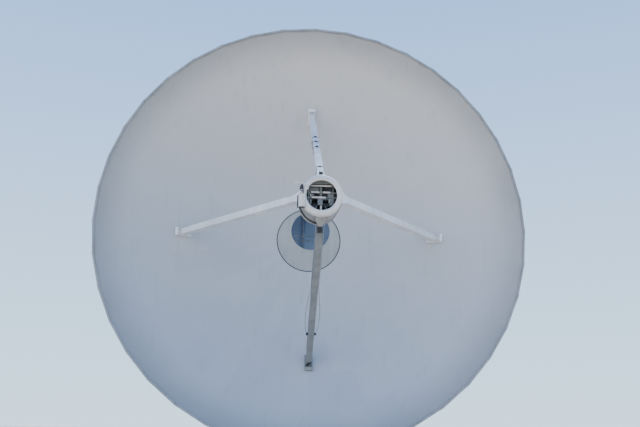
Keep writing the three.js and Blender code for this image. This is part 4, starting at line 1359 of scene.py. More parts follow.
for sector in range(4):
    gussets = Bench(dish_place)
    rods = Bench(dish_place)
    for rib in range(5 * sector, 5 * sector + 5):
        turn = spin(rib, RIBS) @ UPRIGHT
        for radius in STATIONS[1:-1]:
            deep = min(GUSSET_DEEP, (rib_top(radius) - rib_bottom(radius)) * GUSSET_DEEP)
            wide, narrow = GUSSET_HALF
            lower = [(-wide, 0.02), (wide, 0.02), (narrow, deep), (-narrow, deep)]
            upper = [(-wide, -0.02), (-narrow, -deep), (narrow, -deep), (wide, -0.02)]
            for outline, chord_at, into in ((lower, rib_bottom, 1), (upper, rib_top, -1)):
                level = chord_at(radius)
                slope = (chord_at(radius + 0.3) - chord_at(radius - 0.3)) / 0.6
                outline = [(radius + x, level + y + slope * x) for x, y in outline]
                for face in (RIB_HALF - 0.001, -RIB_HALF - GUSSET + 0.001):
                    gussets.prism(outline, face, face + GUSSET, turn)
                for x, y in (*[(k * 0.12, 0.07) for k in range(-2, 3)], (0.0, deep * 0.7)):
                    for out in (1, -1):
                        spot = Vector((radius + x, level + slope * x + into * y, out * (RIB_HALF + GUSSET)))
                        gussets.bolt(turn @ spot, turn.to_3x3() @ Vector((0, 0, out)), 0.034)
        crossed = ((rib, rib + 1), (rib + 1, rib))
        for near, far in zip((FIRST_ROD, *STATIONS[1:-2]), STATIONS[1:-1]):
            for a, b in crossed:
                start = at_rib(near, a, rib_bottom(near) + 0.05)
                rods.tube(start, at_rib(far, b, rib_bottom(far) + 0.05), ROD, 6)
            middle = (at_rib(near, rib, rib_bottom(near)) + at_rib(far, rib + 1, rib_bottom(far))) / 2
            rods.tube(middle + UP * 0.02, middle + UP * 0.08, ROD_COUPLING, 12)
        for radius in STATIONS[1:-2]:
            for a, b in crossed:
                start = at_rib(radius, a, rib_top(radius) - 0.15)
                rods.tube(start, at_rib(radius, b, rib_bottom(radius) + 0.12), ROD, 6)
    gussets.make(f"frame_gussets_{sector + 1}", "dish", "structure_paint", structure_paint)
    rods.make(f"frame_rods_{sector + 1}", "dish", "galvanised", zinc)

purlins = Bench(dish_place)
for radius in PURLINS:
    near, far, bottom = radius - PURLIN_HALF, radius + PURLIN_HALF, rib_top(radius)
    near_top, far_top = bowl(near) - PURLIN_DROP, bowl(far) - PURLIN_DROP
    web, foot = near - PURLIN_SHEET, far - 0.06
    purlins.turned([
        (near, near_top - PURLIN_SHEET), (far, far_top - PURLIN_SHEET), (far, far_top), (web, near_top),
        (web, bottom), (foot, bottom), (foot, bottom + PURLIN_SHEET), (near, bottom + PURLIN_SHEET),
    ], 120)
for k in range(1, 2 * RIBS, 2):
    angle = k * rib_angle / 2
    side = Vector((-math.sin(angle), math.cos(angle), 0))
    radii = [2.0 + i * 0.5 for i in range(21)] + [RADIAL_END]
    spine = [on_bowl(radius, angle, -PURLIN_DROP) for radius in radii]
    for half, thick in RADIAL_LEGS:
        purlins.sheet([[point + side * s * half for s in (-1, 1)] for point in spine], thick)
purlins.make("frame_purlins", "dish", "galvanised", zinc)


# Reflector: painted aluminium sheets on the ribs, in forty gores of five rings. Each is rolled to the bowl's
# curve and riveted at its edges, and the outer ones are cut straight, so that the rim has forty flat sides.
# The paint has weathered a little sheet by sheet. Painted light warms its upper half, and painted shade
# greys it towards the rim.

RIM_SIDES = 40
PANELS = 8
RINGS = STATIONS[:-1]
SHEET_JOINT = 0.001
SHEET_THICK = 0.004
SHEET_STEPS = (6, 4)
SHEET_EDGE = 0.114
STRIP_HALF = 0.045
STRIP_SHADE = 0.4
RIVET_PITCH = 0.12
RIVET_INSET = 0.03
REFLECTOR_GREY = (0.45, 0.455, 0.465, 1.0)
REFLECTOR_PALE = (0.49, 0.49, 0.49, 1.0)
REFLECTOR_STAIN = (0.37, 0.375, 0.38, 1.0)
# The warm colour of painted light, bounced up from the floor onto the bowl's upper half.
REFLECTOR_BOUNCE_LIGHT = (0.58, 0.53, 0.475, 1.0)
# The colour of the painted shade on the sheets near the rim.
RIM_SHADE = (0.28, 0.275, 0.265, 1.0)

rim_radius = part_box("reflector_panel_1")[1].x
side_angle = 2 * math.pi / RIM_SIDES
rim_flat = rim_radius * math.cos(side_angle / 2)
rng = random.Random(11)


def sheet_paint():
    """Matte paint over aluminium, varied sheet by sheet, with rivets and rain marks, painted light warming
    its upper half and painted shade greying its rim.
    """
    material, shader, here = new_finish("reflector_paint", Metallic=0.15)
    x, _, z = here.axes()
    z = z - axis_height
    radius = (x * x + z * z) ** 0.5
    angle = here.make("Math", {"operation": "ARCTAN2"}, {0: z, 1: x})
    gore = (angle / side_angle).part()
    to_seam = (0.5 - abs(gore - 0.5)) * side_angle * radius
    rivets = to_seam.ramp(RIVET_INSET - 0.008, RIVET_INSET) * to_seam.ramp(RIVET_INSET + 0.008, RIVET_INSET)
    rivets = rivets * radius.seam(RIVET_PITCH, 0.016)
    sheet = here.make("Attribute", {"attribute_name": "shade"}, (), "Fac")
    clouds = here.noise(0.35, 5.0, 0.6)
    runs = here.stretch(2.2, 2.2, 0.16).noise(1.0, 4.0, 0.6)
    specks = here.noise(9.0, 6.0, 0.75).ramp(0.72, 0.78)
    stains = runs.ramp(0.55, 0.75) * 0.35 + specks * 0.4 + to_seam.ramp(0.02, 0.0) * 0.25
    # Painted shade: the sheets darken towards the rim.
    rim_shade = radius.ramp(9.8, 12.5) ** 1.7
    colour = (clouds * 0.6 + sheet * 0.7 - 0.1).blend(REFLECTOR_GREY, REFLECTOR_PALE)
    # Painted light: the paint turns warmer and paler towards the top, for light bounced up from the floor.
    colour = (z.ramp(-4.0, 12.0) * 0.75).blend(colour, REFLECTOR_BOUNCE_LIGHT)
    colour = stains.blend(colour, REFLECTOR_STAIN)
    colour = (rim_shade * (clouds * 0.5 + 0.5)).blend(colour, RIM_SHADE)
    feed(
        shader,
        Base_Color=colour,
        Roughness=clouds * 0.12 + sheet * 0.05 + runs * 0.08 + 0.42,
        Normal=(rivets + clouds * 0.3).relief(0.002),
    )
    return material


reflector_paint = sheet_paint()
around, outward = SHEET_STEPS
for panel in range(PANELS):
    sheets = Bench(dish_place)
    for gore in range(RIM_SIDES // PANELS):
        start = (panel * RIM_SIDES // PANELS + gore) * side_angle
        for ring, inner in enumerate(RINGS):
            shade = rng.random()
            front = []
            for i in range(around + 1):
                across = i / around
                bearing = (across - 0.5) * side_angle
                outer = (*RINGS, (rim_flat - SHEET_EDGE) / math.cos(bearing))[ring + 1]
                line = []
                for j in range(outward + 1):
                    radius = inner + SHEET_JOINT / 2 + (outer - inner - SHEET_JOINT) * j / outward
                    inset = SHEET_JOINT / 2 / radius
                    line.append(on_bowl(radius, start + inset + across * (side_angle - 2 * inset)))
                front.append(line)
            sheets.sheet(front, SHEET_THICK, shade)
            lift = 0.001 - SHEET_THICK
            radii = [inner + (outer - inner) * j / outward for j in range(outward + 1)]
            strip = [[on_bowl(r, start + s * STRIP_HALF / r, lift) for s in (-1, 1)] for r in radii]
            sheets.sheet(strip, SHEET_THICK, STRIP_SHADE)
            if ring:
                turns = [start + i / around * side_angle for i in range(around + 1)]
                strip = [[on_bowl(inner + s * STRIP_HALF, turn, lift) for s in (-1, 1)] for turn in turns]
                sheets.sheet(strip, SHEET_THICK, STRIP_SHADE)
    stood_for = [f"reflector_panel_{panel + 1}"]
    sheets.make(f"reflector_sheets_{panel + 1}", "dish", "reflector_paint", reflector_paint, stood_for, 25)


# Rim: forty lengths of folded channel, mitred at the corners and held there by bent cover plates. Its front
# flange stops short of the sheets, and a strip closes the gap behind.

CHANNEL = {"flange": 0.105, "depth": 0.26, "back": 0.07, "thick": 0.01}
MITRE_GAP = 0.007
TAB = {"wing": 0.21, "width": 0.05, "thick": 0.008}
RIM_GREY = (0.31, 0.315, 0.32, 1.0)
RIM_WORN = (0.23, 0.23, 0.225, 1.0)


def side_run(bench, profile, side, gap):
    """A straight length along one side of the rim, by its profile of (distance out, height) points."""
    corners = [side * side_angle, (side + 1) * side_angle]
    along = (on_bowl(1.0, corners[1]) - on_bowl(1.0, corners[0])).normalized()
    rows = []
    for corner, inset in zip(corners, (gap, -gap)):
        out = Vector((math.cos(corner), math.sin(corner), 0)) / math.cos(side_angle / 2)
        rows.append([out * t + UP * z + along * inset for t, z in profile])
    bench.loft(rows)


rim_face = bowl(rim_radius)
channel_inner = rim_flat - CHANNEL["thick"]
channel_back = rim_face - CHANNEL["depth"]
flange_edge, back_edge = rim_flat - CHANNEL["flange"], rim_flat - CHANNEL["back"]
flange_under, back_top = rim_face - CHANNEL["thick"], channel_back + CHANNEL["thick"]
channel = [
    (flange_edge, rim_face), (rim_flat, rim_face), (rim_flat, channel_back), (back_edge, channel_back),
    (back_edge, back_top), (channel_inner, back_top), (channel_inner, flange_under),
    (flange_edge, flange_under),
]
near, far = rim_flat - SHEET_EDGE - 0.02, flange_edge + 0.03
low, high = rim_face - 0.032, rim_face - 0.02
closing = [(near, low), (far, low), (far, high), (near, high)]
# The rim's channel and strip are a darker grey than the sheets, as painted shade along the bowl's edge.
rim_paint = painted_steel("rim_paint", RIM_GREY, RIM_WORN, 0.5, 0.2)
half_side = rim_radius * math.sin(side_angle / 2)
edge, face = rim_flat + TAB["thick"], rim_face + TAB["thick"]
rim = Bench(dish_place)
strip = Bench(dish_place)
tabs = Bench(dish_place)
for side in range(RIM_SIDES):
    side_run(rim, channel, side, MITRE_GAP)
    side_run(strip, closing, side, 0.0)
    for sign in (-1, 1):
        turn = spin(side + sign / 2, RIM_SIDES)
        near, far = -sign * half_side, -sign * (half_side - TAB["wing"])
        tabs.block((rim_flat - TAB["width"], near, rim_face + 0.001), (edge, far, face), turn)
        tabs.block((rim_flat + 0.001, near, channel_back + 0.04), (edge, far, rim_face + 0.001), turn)
        for share in (0.3, 0.75):
            bolt_y = -sign * (half_side - share * TAB["wing"])
            tabs.bolt(turn @ Vector((rim_flat - 0.02, bolt_y, face)), UP, 0.02)
    for share in (-0.3, 0.3):
        web = spin(side + 0.5, RIM_SIDES) @ shift(y=share * rim_radius * side_angle)
        rim.block((back_edge, -0.005, channel_back + 0.011), (channel_inner, 0.005, rim_face - 0.011), web)
rim.make("rim_channel", "dish", "reflector_paint", rim_paint)
strip.make("rim_strip", "dish", "reflector_paint", rim_paint)
tabs.make("rim_tabs", "dish", "galvanised", zinc)


# Vertex plate: a flat plate over the hub with a rubber seal round it. Its round window sits off its centre,
# in a bolted ring, behind two level glazing bars and an upright one.

PLATE_RADIUS = 1.95
PLATE_THICK = 0.06
PLATE_SIDES = 96
WINDOW_PLACE = Vector((0.11, 0.59, 0))
WINDOW_RADIUS = 1.22
BEZEL_WIDTH = 0.05
BAR_LEVELS = (-0.34, -0.62)
BAR_X = -0.45
VERTEX_GREY = (0.385, 0.385, 0.355, 1.0)
VERTEX_STAIN = (0.31, 0.315, 0.30, 1.0)
GLASS_DEEP = (0.018, 0.03, 0.058, 1.0)
GLASS_PALE = (0.062, 0.088, 0.135, 1.0)
RUBBER = (0.018, 0.019, 0.02, 1.0)
RUBBER_CHALKY = (0.06, 0.06, 0.06, 1.0)


def tinted_glass():
    """Blue glass with the shade of a dark room behind it painted into its colour: deepest at the upper left
    and paler towards its lower edge.
    """
    material, shader, here = new_finish("window_glass", IOR=1.5, Coat_Weight=0.5)
    x, _, z = here.axes()
    # Painted shade: the glass's colour darkens towards its upper left.
    slope = ((z - axis_height - WINDOW_PLACE.y) * 0.8 - (x - WINDOW_PLACE.x) * 0.5) / WINDOW_RADIUS
    film = here.noise(1.2, 4.0)
    colour = (slope + (film - 0.5) * 0.5).ramp(0.75, -0.9).blend(GLASS_DEEP, GLASS_PALE)
    feed(shader, Base_Color=colour, Roughness=film * 0.12 + 0.03)
    return material


def rubber():
    """Black rubber and bitumen, chalky with age."""
    material, shader, here = new_finish("rubber")
    bloom = here.noise(5.0, 5.0, 0.7)
    colour = bloom.ramp(0.45, 0.75).blend(RUBBER, RUBBER_CHALKY)
    feed(shader, Base_Color=colour, Roughness=bloom * 0.3 + 0.55)
    return material


vertex_paint = painted_steel("vertex_paint", VERTEX_GREY, VERTEX_STAIN, 0.55)
black_rubber = rubber()
plate_face = bowl(PLATE_RADIUS)
low, high = plate_face - PLATE_THICK, plate_face
hole = [(x + WINDOW_PLACE.x, y + WINDOW_PLACE.y) for x, y in circle(WINDOW_RADIUS + 0.004, PLATE_SIDES)]
plate = Bench(dish_place)
plate.collar(circle(PLATE_RADIUS - 0.02, PLATE_SIDES), hole, low, high)
plate.bolt_ring(shift(z=plate_face), PLATE_RADIUS - 0.065, 48, 0.022)
plate.make("vertex_cover", "dish", "vertex_paint", vertex_paint, ["vertex_plate"], ease=0.003)
seal = Bench(dish_place)
seal.turned([(radius, plate_face + z) for radius, z in (
    (1.93, -0.02), (1.985, -0.02), (1.985, 0.008), (1.965, 0.014), (1.935, 0.01),
)], 128)
seal.make("vertex_seal", "dish", "dark_steel", black_rubber)
bezel = Bench(dish_place)
inner = WINDOW_RADIUS - BEZEL_WIDTH / 2
outer = inner + BEZEL_WIDTH
bezel.turned([(radius, plate_face + z) for radius, z in (
    (inner, -0.028), (outer, -0.028), (outer, 0.006), (outer - 0.008, 0.014), (inner + 0.008, 0.014),
    (inner, 0.006),
)], PLATE_SIDES, shift(*WINDOW_PLACE))
bezel.bolt_ring(shift(*WINDOW_PLACE) @ shift(z=plate_face + 0.014), WINDOW_RADIUS, 36, 0.016)
bezel.make("window_ring", "dish", "vertex_paint", vertex_paint)
glazing = Bench(dish_place @ shift(*(WINDOW_PLACE + UP * (plate_face - 0.018))))
for level in BAR_LEVELS:
    span = math.sqrt((inner + 0.01) ** 2 - level ** 2)
    glazing.bar((-span, level, 0), (span, level, 0), 0.03, 0.012)
span = math.sqrt((inner + 0.01) ** 2 - BAR_X ** 2)
glazing.bar((BAR_X, -span, 0), (BAR_X, span, 0), 0.03, 0.012)
glazing.make("window_bars", "dish", "dark_steel", machine_steel)
dress(tinted_glass(), "vertex_window")


# Feed legs: four box girders of welded plate from base plates on the bowl to the cabin, with wider flanges,
# bolted splice plates and a flared haunch at the head. The bottom one narrows to a dark neck below its
# haunch, and it and its haunch are painted a darker grey, as painted shade on their downward faces.
# Steel conduit and thin lines run along them on clips.

LEG_FOOT = Vector((7.6, 0, bowl(7.6)))
LEG_HEAD = Vector((1.06, 0, 9.6))
LEG_WIDTH = 0.33
LEG_DEPTH = 0.45
DRUM_FACE = 1.06
LEG_WHITE = (0.79, 0.785, 0.775, 1.0)
LEG_WORN = (0.64, 0.635, 0.615, 1.0)
LEG_SHADE_GREY = (0.235, 0.24, 0.235, 1.0)
LEG_SHADE_DIRTY = (0.165, 0.165, 0.16, 1.0)
SHADE_CREAM = (0.34, 0.325, 0.295, 1.0)
SHADE_CREAM_WORN = (0.23, 0.22, 0.20, 1.0)
FLANGE = {"over": 0.007, "thick": 0.014, "from": 0.95, "to": 9.7}
SPLICES = (3.4, 6.9)
SPLICE = {"length": 0.56, "thick": 0.01}
HAUNCH = {"start": 10.2, "end": 10.8, "narrow": 0.105, "wide": 0.32, "skin": 0.008}
HEAD_PLATE = {"back": 1.03, "face": 1.072, "half": 0.36, "low": 9.26, "high": 9.93}
NECK = {"from": 9.76, "to": 10.2, "proud": 0.006, "half": 0.197}
BASE = {"width": 0.46, "inner": 7.15, "outer": 8.05, "proud": 0.05}
TOE = {"inner": 7.86, "outer": 8.03, "width": 0.44, "lift": 0.2}
CLIP = {"first": 1.3, "pitch": 0.9, "count": 9, "half": 0.085, "long": 0.035}
LEG_CONDUIT = 0.018
LINE_CLIPS = (6.1, 7.9, 9.5)
COLLARS = ((4.5, 0.05), (5.3, 0.03), (6.2, 0.05), (9.28, 0.02))
LINE_RADIUS = 0.016
LOOSE_LINE = (
    (0.09, 2.45), (0.10, 2.56), (0.14, 2.75), (0.19, 3.05), (0.225, 3.45), (0.235, 3.9), (0.21, 4.4),
    (0.15, 5.0), (0.085, 5.6), (0.05, 6.1), (0.045, 8.0), (0.045, 10.3),
)

leg_paint = painted_steel("leg_paint", LEG_WHITE, LEG_WORN, 0.42, 0.2)
# The bottom leg's dark grey is painted shade, for its face that looks down to the ground.
leg_shade_paint = painted_steel("shaded_leg_paint", LEG_SHADE_GREY, LEG_SHADE_DIRTY, 0.5, 0.3)
# A warm dark grey that is painted shade, tinted by light bounced from the floor, for the cabin drum, its
# rear plate and the bottom leg's haunch.
shade_cream_paint = painted_steel("shade_cream_paint", SHADE_CREAM, SHADE_CREAM_WORN, 0.45, 0.2)
half_width, half_depth = LEG_WIDTH / 2, LEG_DEPTH / 2
leg_frame = aim(LEG_FOOT, LEG_HEAD)
leg_turn = leg_frame.to_3x3()


def haunch_ring(along, skin):
    """The haunch's corners at a distance along the leg, or on the drum's face where that is nearer."""
    corners = []
    for x, y in ((-1, -1), (1, -1), (1, 1), (-1, 1)):
        foot = leg_frame @ Vector((0, y * (0.235 + skin), 0))
        step = leg_turn @ UP
        reach = min(along, (DRUM_FACE - foot.x) / step.x)
        share = max(0.0, (reach - HAUNCH["start"]) / (HAUNCH["end"] - HAUNCH["start"]))
        half = HAUNCH["narrow"] + share * (HAUNCH["wide"] - HAUNCH["narrow"]) + skin
        corners.append(foot + step * reach + (leg_turn @ Vector((x * half, 0, 0))))
    return corners


for i, side in enumerate(("right", "top", "left", "bottom")):
    leg_place = dish_place @ spin(i, 4)
    bottom_leg = side == "bottom"
    # The bottom leg takes the dark grey of painted shade; the others keep their white paint.
    paint = leg_shade_paint if bottom_leg else leg_paint
    dress(paint, f"feed_leg_{side}")
    round_edges(f"feed_leg_{side}", 0.006, 2, True)

    haunch = Bench(leg_place)
    haunch.loft([haunch_ring(along, HAUNCH["skin"]) for along in (HAUNCH["start"], 10.5, 10.9)])
    plate_y, plate_x = HEAD_PLATE["half"], HEAD_PLATE["face"]
    near = (HEAD_PLATE["back"], -plate_y, HEAD_PLATE["low"])
    haunch.block(near, (plate_x, plate_y, HEAD_PLATE["high"]))
    for y in (0.035 - plate_y, plate_y - 0.035):
        for z in (9.32, 9.46, 9.60, 9.74, 9.87):
            haunch.bolt((plate_x, y, z), (1, 0, 0), 0.034)
    # The bottom haunch takes the warm grey of painted shade; the others keep the white leg paint.
    head_paint = shade_cream_paint if bottom_leg else leg_paint
    haunch.make(f"leg_haunch_{side}", "dish", "cabin_paint", head_paint, ease=0.008)

    girder = Bench(leg_place)
    flange_x = half_width + FLANGE["over"]
    for y in (-half_depth - FLANGE["thick"] + 0.002, half_depth - 0.002):
        far = (flange_x, y + FLANGE["thick"], FLANGE["to"])
        girder.block((-flange_x, y, FLANGE["from"]), far, leg_frame)
    face_y = half_depth + FLANGE["thick"] - 0.002
    splice_x, splice_y = half_width + SPLICE["thick"], face_y + SPLICE["thick"]
    for along in SPLICES:
        start, end = along - SPLICE["length"] / 2, along + SPLICE["length"] / 2
        for sign in (-1, 1):
            girder.block((-half_width, sign * face_y, start), (half_width, sign * splice_y, end), leg_frame)
            near, far = sign * (half_width - 0.001), sign * splice_x
            girder.block((near, 0.03 - half_depth, start), (far, half_depth - 0.03, end), leg_frame)
            for row in range(6):
                z = start + 0.05 + row * 0.092
                for column in (-0.11, 0.0, 0.11):
                    point = leg_frame @ Vector((column, sign * splice_y, z))
                    girder.bolt(point, leg_turn @ Vector((0, sign, 0)), 0.024)
                    point = leg_frame @ Vector((sign * splice_x, column * 1.3, z))
                    girder.bolt(point, leg_turn @ Vector((sign, 0, 0)), 0.024)
    ends = (BASE["inner"] + 0.06, BASE["outer"] - 0.06)
    base_ends = [Vector((radius, 0, bowl(radius) + BASE["proud"])) for radius in ends]
    base_at = aim(*base_ends)
    base_length = (base_ends[1] - base_ends[0]).length
    base_out = base_at.to_3x3() @ Vector((0, 1, 0))
    for y in (0.03 - BASE["width"] / 2, BASE["width"] / 2 - 0.03):
        for share in (0.0, 0.32, 0.64, 0.96):
            girder.bolt(base_at @ Vector((y, 0.0, share * base_length)), base_out, 0.04)
    web = [(7.72, bowl(7.72) + 0.04), (8.0, bowl(8.0) + 0.04), (7.66, 1.95)]
    for y in (-half_width, half_width - 0.012):
        girder.prism(web, 0.0, 0.012, shift(y=y + 0.012) @ UPRIGHT)
    toe_z = bowl(TOE["outer"]) + TOE["lift"]
    girder.block((TOE["inner"], -TOE["width"] / 2, toe_z), (TOE["outer"], TOE["width"] / 2, toe_z + 0.02))
    girder.make(f"leg_plates_{side}", "dish", "leg_paint", paint, ease=0.002)

    lines = Bench(leg_place)
    back_y = -half_depth - FLANGE["thick"] - LEG_CONDUIT - 0.004
    for x in (-0.045, 0.045):
        path = [(x, back_y, z) for z in (1.0, 2.6, 6.2, 9.0, 9.62)] + [(x, back_y - 0.04, 9.9)]
        lines.pipe([leg_frame @ Vector(point) for point in path], LEG_CONDUIT)
    low, high = back_y - LEG_CONDUIT - 0.004, back_y + LEG_CONDUIT + 0.006
    for step in range(CLIP["count"]):
        z = CLIP["first"] + step * CLIP["pitch"]
        lines.block((-CLIP["half"], low, z), (CLIP["half"], high, z + CLIP["long"]), leg_frame)
    lines.make(f"leg_conduit_{side}", "dish", "galvanised", zinc)

    extras = Bench(leg_place)
    if bottom_leg:
        neck_x, neck_y = HAUNCH["narrow"] + NECK["proud"], NECK["half"]
        extras.block((-neck_x, -neck_y, NECK["from"]), (neck_x, neck_y, NECK["to"]), leg_frame)
        # Painted shadow: a thin dark plate at the foot, standing for the shadow gap between the leg's cut
        # end and its base plate.
        shadow_wedge = [(-0.17, 0.33), (0.0, 0.30), (0.20, 0.10), (0.20, -0.06), (0.06, 0.04), (-0.12, 0.22)]
        wedge_y = half_depth + FLANGE["thick"] + 0.016
        extras.prism(shadow_wedge, 0.0, 0.022, leg_frame @ shift(y=wedge_y) @ UPRIGHT)
        lines = Bench(leg_place)
        for sign in (-1, 1):
            near = sign * (half_width - 0.003)
            extras.block((near, 0.04, 2.42), (sign * (half_width + 0.12), 0.16, 2.53), leg_frame)
            path = [leg_frame @ Vector((sign * (half_width + x), 0.10, z)) for x, z in LOOSE_LINE]
            lines.pipe(path, LINE_RADIUS)
            for z in LINE_CLIPS:
                lines.block((near, 0.08, z), (sign * (half_width + 0.065), 0.12, z + 0.03), leg_frame)
        lines.make("leg_lines_bottom", "dish", "galvanised", zinc)
    if side == "top":
        wide_x, wide_y = half_width + 0.024, half_depth + FLANGE["thick"] + 0.012
        for z, proud in COLLARS:
            extras.block((-wide_x, -wide_y, z), (wide_x, wide_y, z + 0.035), leg_frame)
            extras.block((-0.07, wide_y, z - 0.04), (0.07, wide_y + proud, z + 0.08), leg_frame)
        extras.block((-0.10, half_depth, 10.30), (0.10, half_depth + 0.12, 10.42), leg_frame)
        foot, tip = (leg_frame @ Vector((-0.04, half_depth + 0.08, z)) for z in (10.1, 10.35))
        extras.tube(foot, tip, 0.02)
    if extras.points:
        extras.make(f"leg_fittings_{side}", "dish", "dark_steel", black_rubber, ease=0.003)


# Focus cabin: a round drum with a stiffening band and a rounded white cowl in front, open to the equipment
# inside, which stands on a rack before a dark lining. The drum narrows a little to its bolted rear plate.

DRUM_WALL = 0.02
DRUM_BACK = 8.25
DRUM_FRONT = 9.98
DRUM_TAPER = {"from": 8.9, "radius": 1.025}
DRUM_RIBS = 8
REAR_FACE = 8.192
REAR_BORE = 0.253
COWL = {"radius": 1.065, "back": 9.985, "shoulder": 10.26, "front": 10.42, "crown": 0.86, "mouth": 0.768}
COWL_LIP = 0.07
ROUND = 96
RACK_FACE = 9.80
RACK_RADIUS = 0.985
SHELVES = (0.64, 0.30, 0.03)
RAIL_BAND = 0.085
DOME_SILL = 0.735
EQUIPMENT = (0.20, 0.21, 0.20, 1.0)
EQUIPMENT_WORN = (0.10, 0.105, 0.10, 1.0)
PANEL_GREY = (0.30, 0.31, 0.30, 1.0)
PANEL_WORN = (0.20, 0.21, 0.20, 1.0)

# The drum is painted in the warm grey of painted shade, for the shaded sides and underside of the cabin
# behind its white cowl.
drum = Bench(dish_place)
narrow = DRUM_TAPER["radius"]
drum.turned([
    (narrow - DRUM_WALL, DRUM_BACK), (narrow, DRUM_BACK), (DRUM_FACE, DRUM_TAPER["from"]),
    (DRUM_FACE, DRUM_FRONT - 0.08), (DRUM_FACE - 0.035, DRUM_FRONT - 0.06), (DRUM_FACE - 0.035, DRUM_FRONT),
    (DRUM_FACE - 0.05, DRUM_FRONT), (DRUM_FACE - 0.055, DRUM_FRONT - 0.09),
    (DRUM_FACE - DRUM_WALL, DRUM_TAPER["from"]),
], ROUND)
for z, radius in ((8.27, narrow), (8.9, DRUM_FACE), (9.12, DRUM_FACE)):
    drum.hoop(radius - 0.01, radius + 0.016, z, z + 0.05, ROUND)
for i in range(DRUM_RIBS):
    far = (DRUM_FACE + 0.006, 0.03, DRUM_FRONT - 0.09)
    drum.block((DRUM_FACE - 0.002, -0.03, 8.93), far, spin(i + 0.5, DRUM_RIBS))
drum.make("cabin_shell", "dish", "cabin_paint", shade_cream_paint, ["cabin_drum"])

cowl = Bench(dish_place)
turns = [math.radians(a) for a in range(0, 91, 9)]
reach, rise = COWL["radius"] - COWL["crown"], COWL["front"] - COWL["shoulder"]
lip = COWL["crown"] - COWL["mouth"]
profile = [(1.03, COWL["back"]), (1.055, COWL["back"]), (COWL["radius"], COWL["back"] + 0.012)]
profile += [(COWL["crown"] + reach * math.cos(a), COWL["shoulder"] + rise * math.sin(a)) for a in turns]
nose = COWL["front"] - COWL_LIP
profile += [(COWL["crown"] - lip * math.sin(a), nose + COWL_LIP * math.cos(a)) for a in turns[1:]]
profile += [(0.80, 10.30), (0.90, 10.20), (1.0, COWL["back"])]
cowl.turned(profile, ROUND)
cowl.make("cowl_ring", "dish", "cabin_paint", cabin_paint, ["cabin_cowl"], crisp=50)

# The rear plate is painted in the same warm grey of painted shade.
rear = Bench(dish_place)
low, high = REAR_FACE, REAR_FACE + 0.055
rear.turned([
    (REAR_BORE, low), (narrow - 0.015, low), (narrow, low + 0.015), (narrow, high), (REAR_BORE, high),
], ROUND)
rear.bolt_ring(shift(z=low) @ FACE_DOWN, 0.95, 24, 0.035)
rear.make("cabin_rear_plate", "dish", "cabin_paint", shade_cream_paint, ["cabin_floor"])

lining = Bench(dish_place)
lining.hoop(0.99, 1.035, 9.0, 9.9, ROUND)
lining.turned([(0.0, 9.12), (1.0, 9.12), (1.0, 9.15), (0.0, 9.15)], 48, loop=False)
lining.make("cabin_lining", "dish", "dark_steel", black_rubber)

equipment_paint = painted_steel("equipment_paint", EQUIPMENT, EQUIPMENT_WORN, 0.5)
panel_paint = painted_steel("panel_paint", PANEL_GREY, PANEL_WORN, 0.5)


def chord(height):
    """Half of the rack's width at a height above its middle."""
    return math.sqrt(RACK_RADIUS ** 2 - height ** 2)


rack = Bench(dish_place)
for level in SHELVES:
    half = chord(level)
    rack.block((-half, level - 0.03, RACK_FACE - 0.06), (half, level + 0.03, RACK_FACE - 0.02))
    rack.block((-half, level - 0.03, RACK_FACE - 0.42), (half, level - 0.018, RACK_FACE - 0.06))
for x in (-0.62, 0.62):
    rack.block((x - 0.03, -chord(0.62), RACK_FACE - 0.08), (x + 0.03, 0.72, RACK_FACE - 0.03))
rack.block((-0.05, 0.05, RACK_FACE - 0.16), (0.06, 0.60, RACK_FACE - 0.09))
for y in (0.2, 0.33, 0.46):
    rack.block((-0.07, y, RACK_FACE - 0.1), (0.08, y + 0.05, RACK_FACE - 0.04))
rack.make("cabin_rack_frame", "dish", "galvanised", equipment_paint, ["cabin_rack"], ease=0.002)

rails = Bench(dish_place)
half = RAIL_BAND / 2
for level, x0, x1 in ((0.64, -0.53, 0.53), (0.30, -0.50, -0.09), (0.30, 0.11, 0.48), (0.03, -0.46, 0.24)):
    rails.block((x0, level - half, RACK_FACE - 0.019), (x1, level + half, RACK_FACE + 0.012))
rails.block((-0.035, -0.97, RACK_FACE - 0.03), (0.05, -0.40, RACK_FACE + 0.01))
for path in (((0.40, -0.05), (0.43, -0.12), (0.40, -0.24)), ((-0.58, 0.26), (-0.52, 0.16), (-0.50, 0.06))):
    rails.pipe([(*spot, RACK_FACE + lift) for spot, lift in zip(path, (0, 0.02, 0))], 0.018)
rails.make("cabin_rails", "dish", "cabin_paint", cabin_paint, ease=0.003)

dome_panel = Bench(dish_place)
base_turn = math.asin(DOME_SILL / RACK_RADIUS)
turns = [base_turn + i * (math.pi - 2 * base_turn) / 16 for i in range(17)]
dome = [(RACK_RADIUS * math.cos(a), RACK_RADIUS * math.sin(a)) for a in turns]
dome_panel.prism(dome, RACK_FACE - 0.05, RACK_FACE - 0.01)
for y in (0.80, 0.86):
    half = chord(y) * 0.8
    dome_panel.block((-half, y, RACK_FACE - 0.012), (half, y + 0.02, RACK_FACE + 0.004))
for x, y in ((-0.56, 0.77), (0.56, 0.77), (-0.3, 0.9), (0.3, 0.9), (0, 0.94)):
    dome_panel.bolt((x, y, RACK_FACE - 0.01), UP, 0.024)
dome_panel.make("cabin_panel", "dish", "galvanised", panel_paint, ease=0.003)

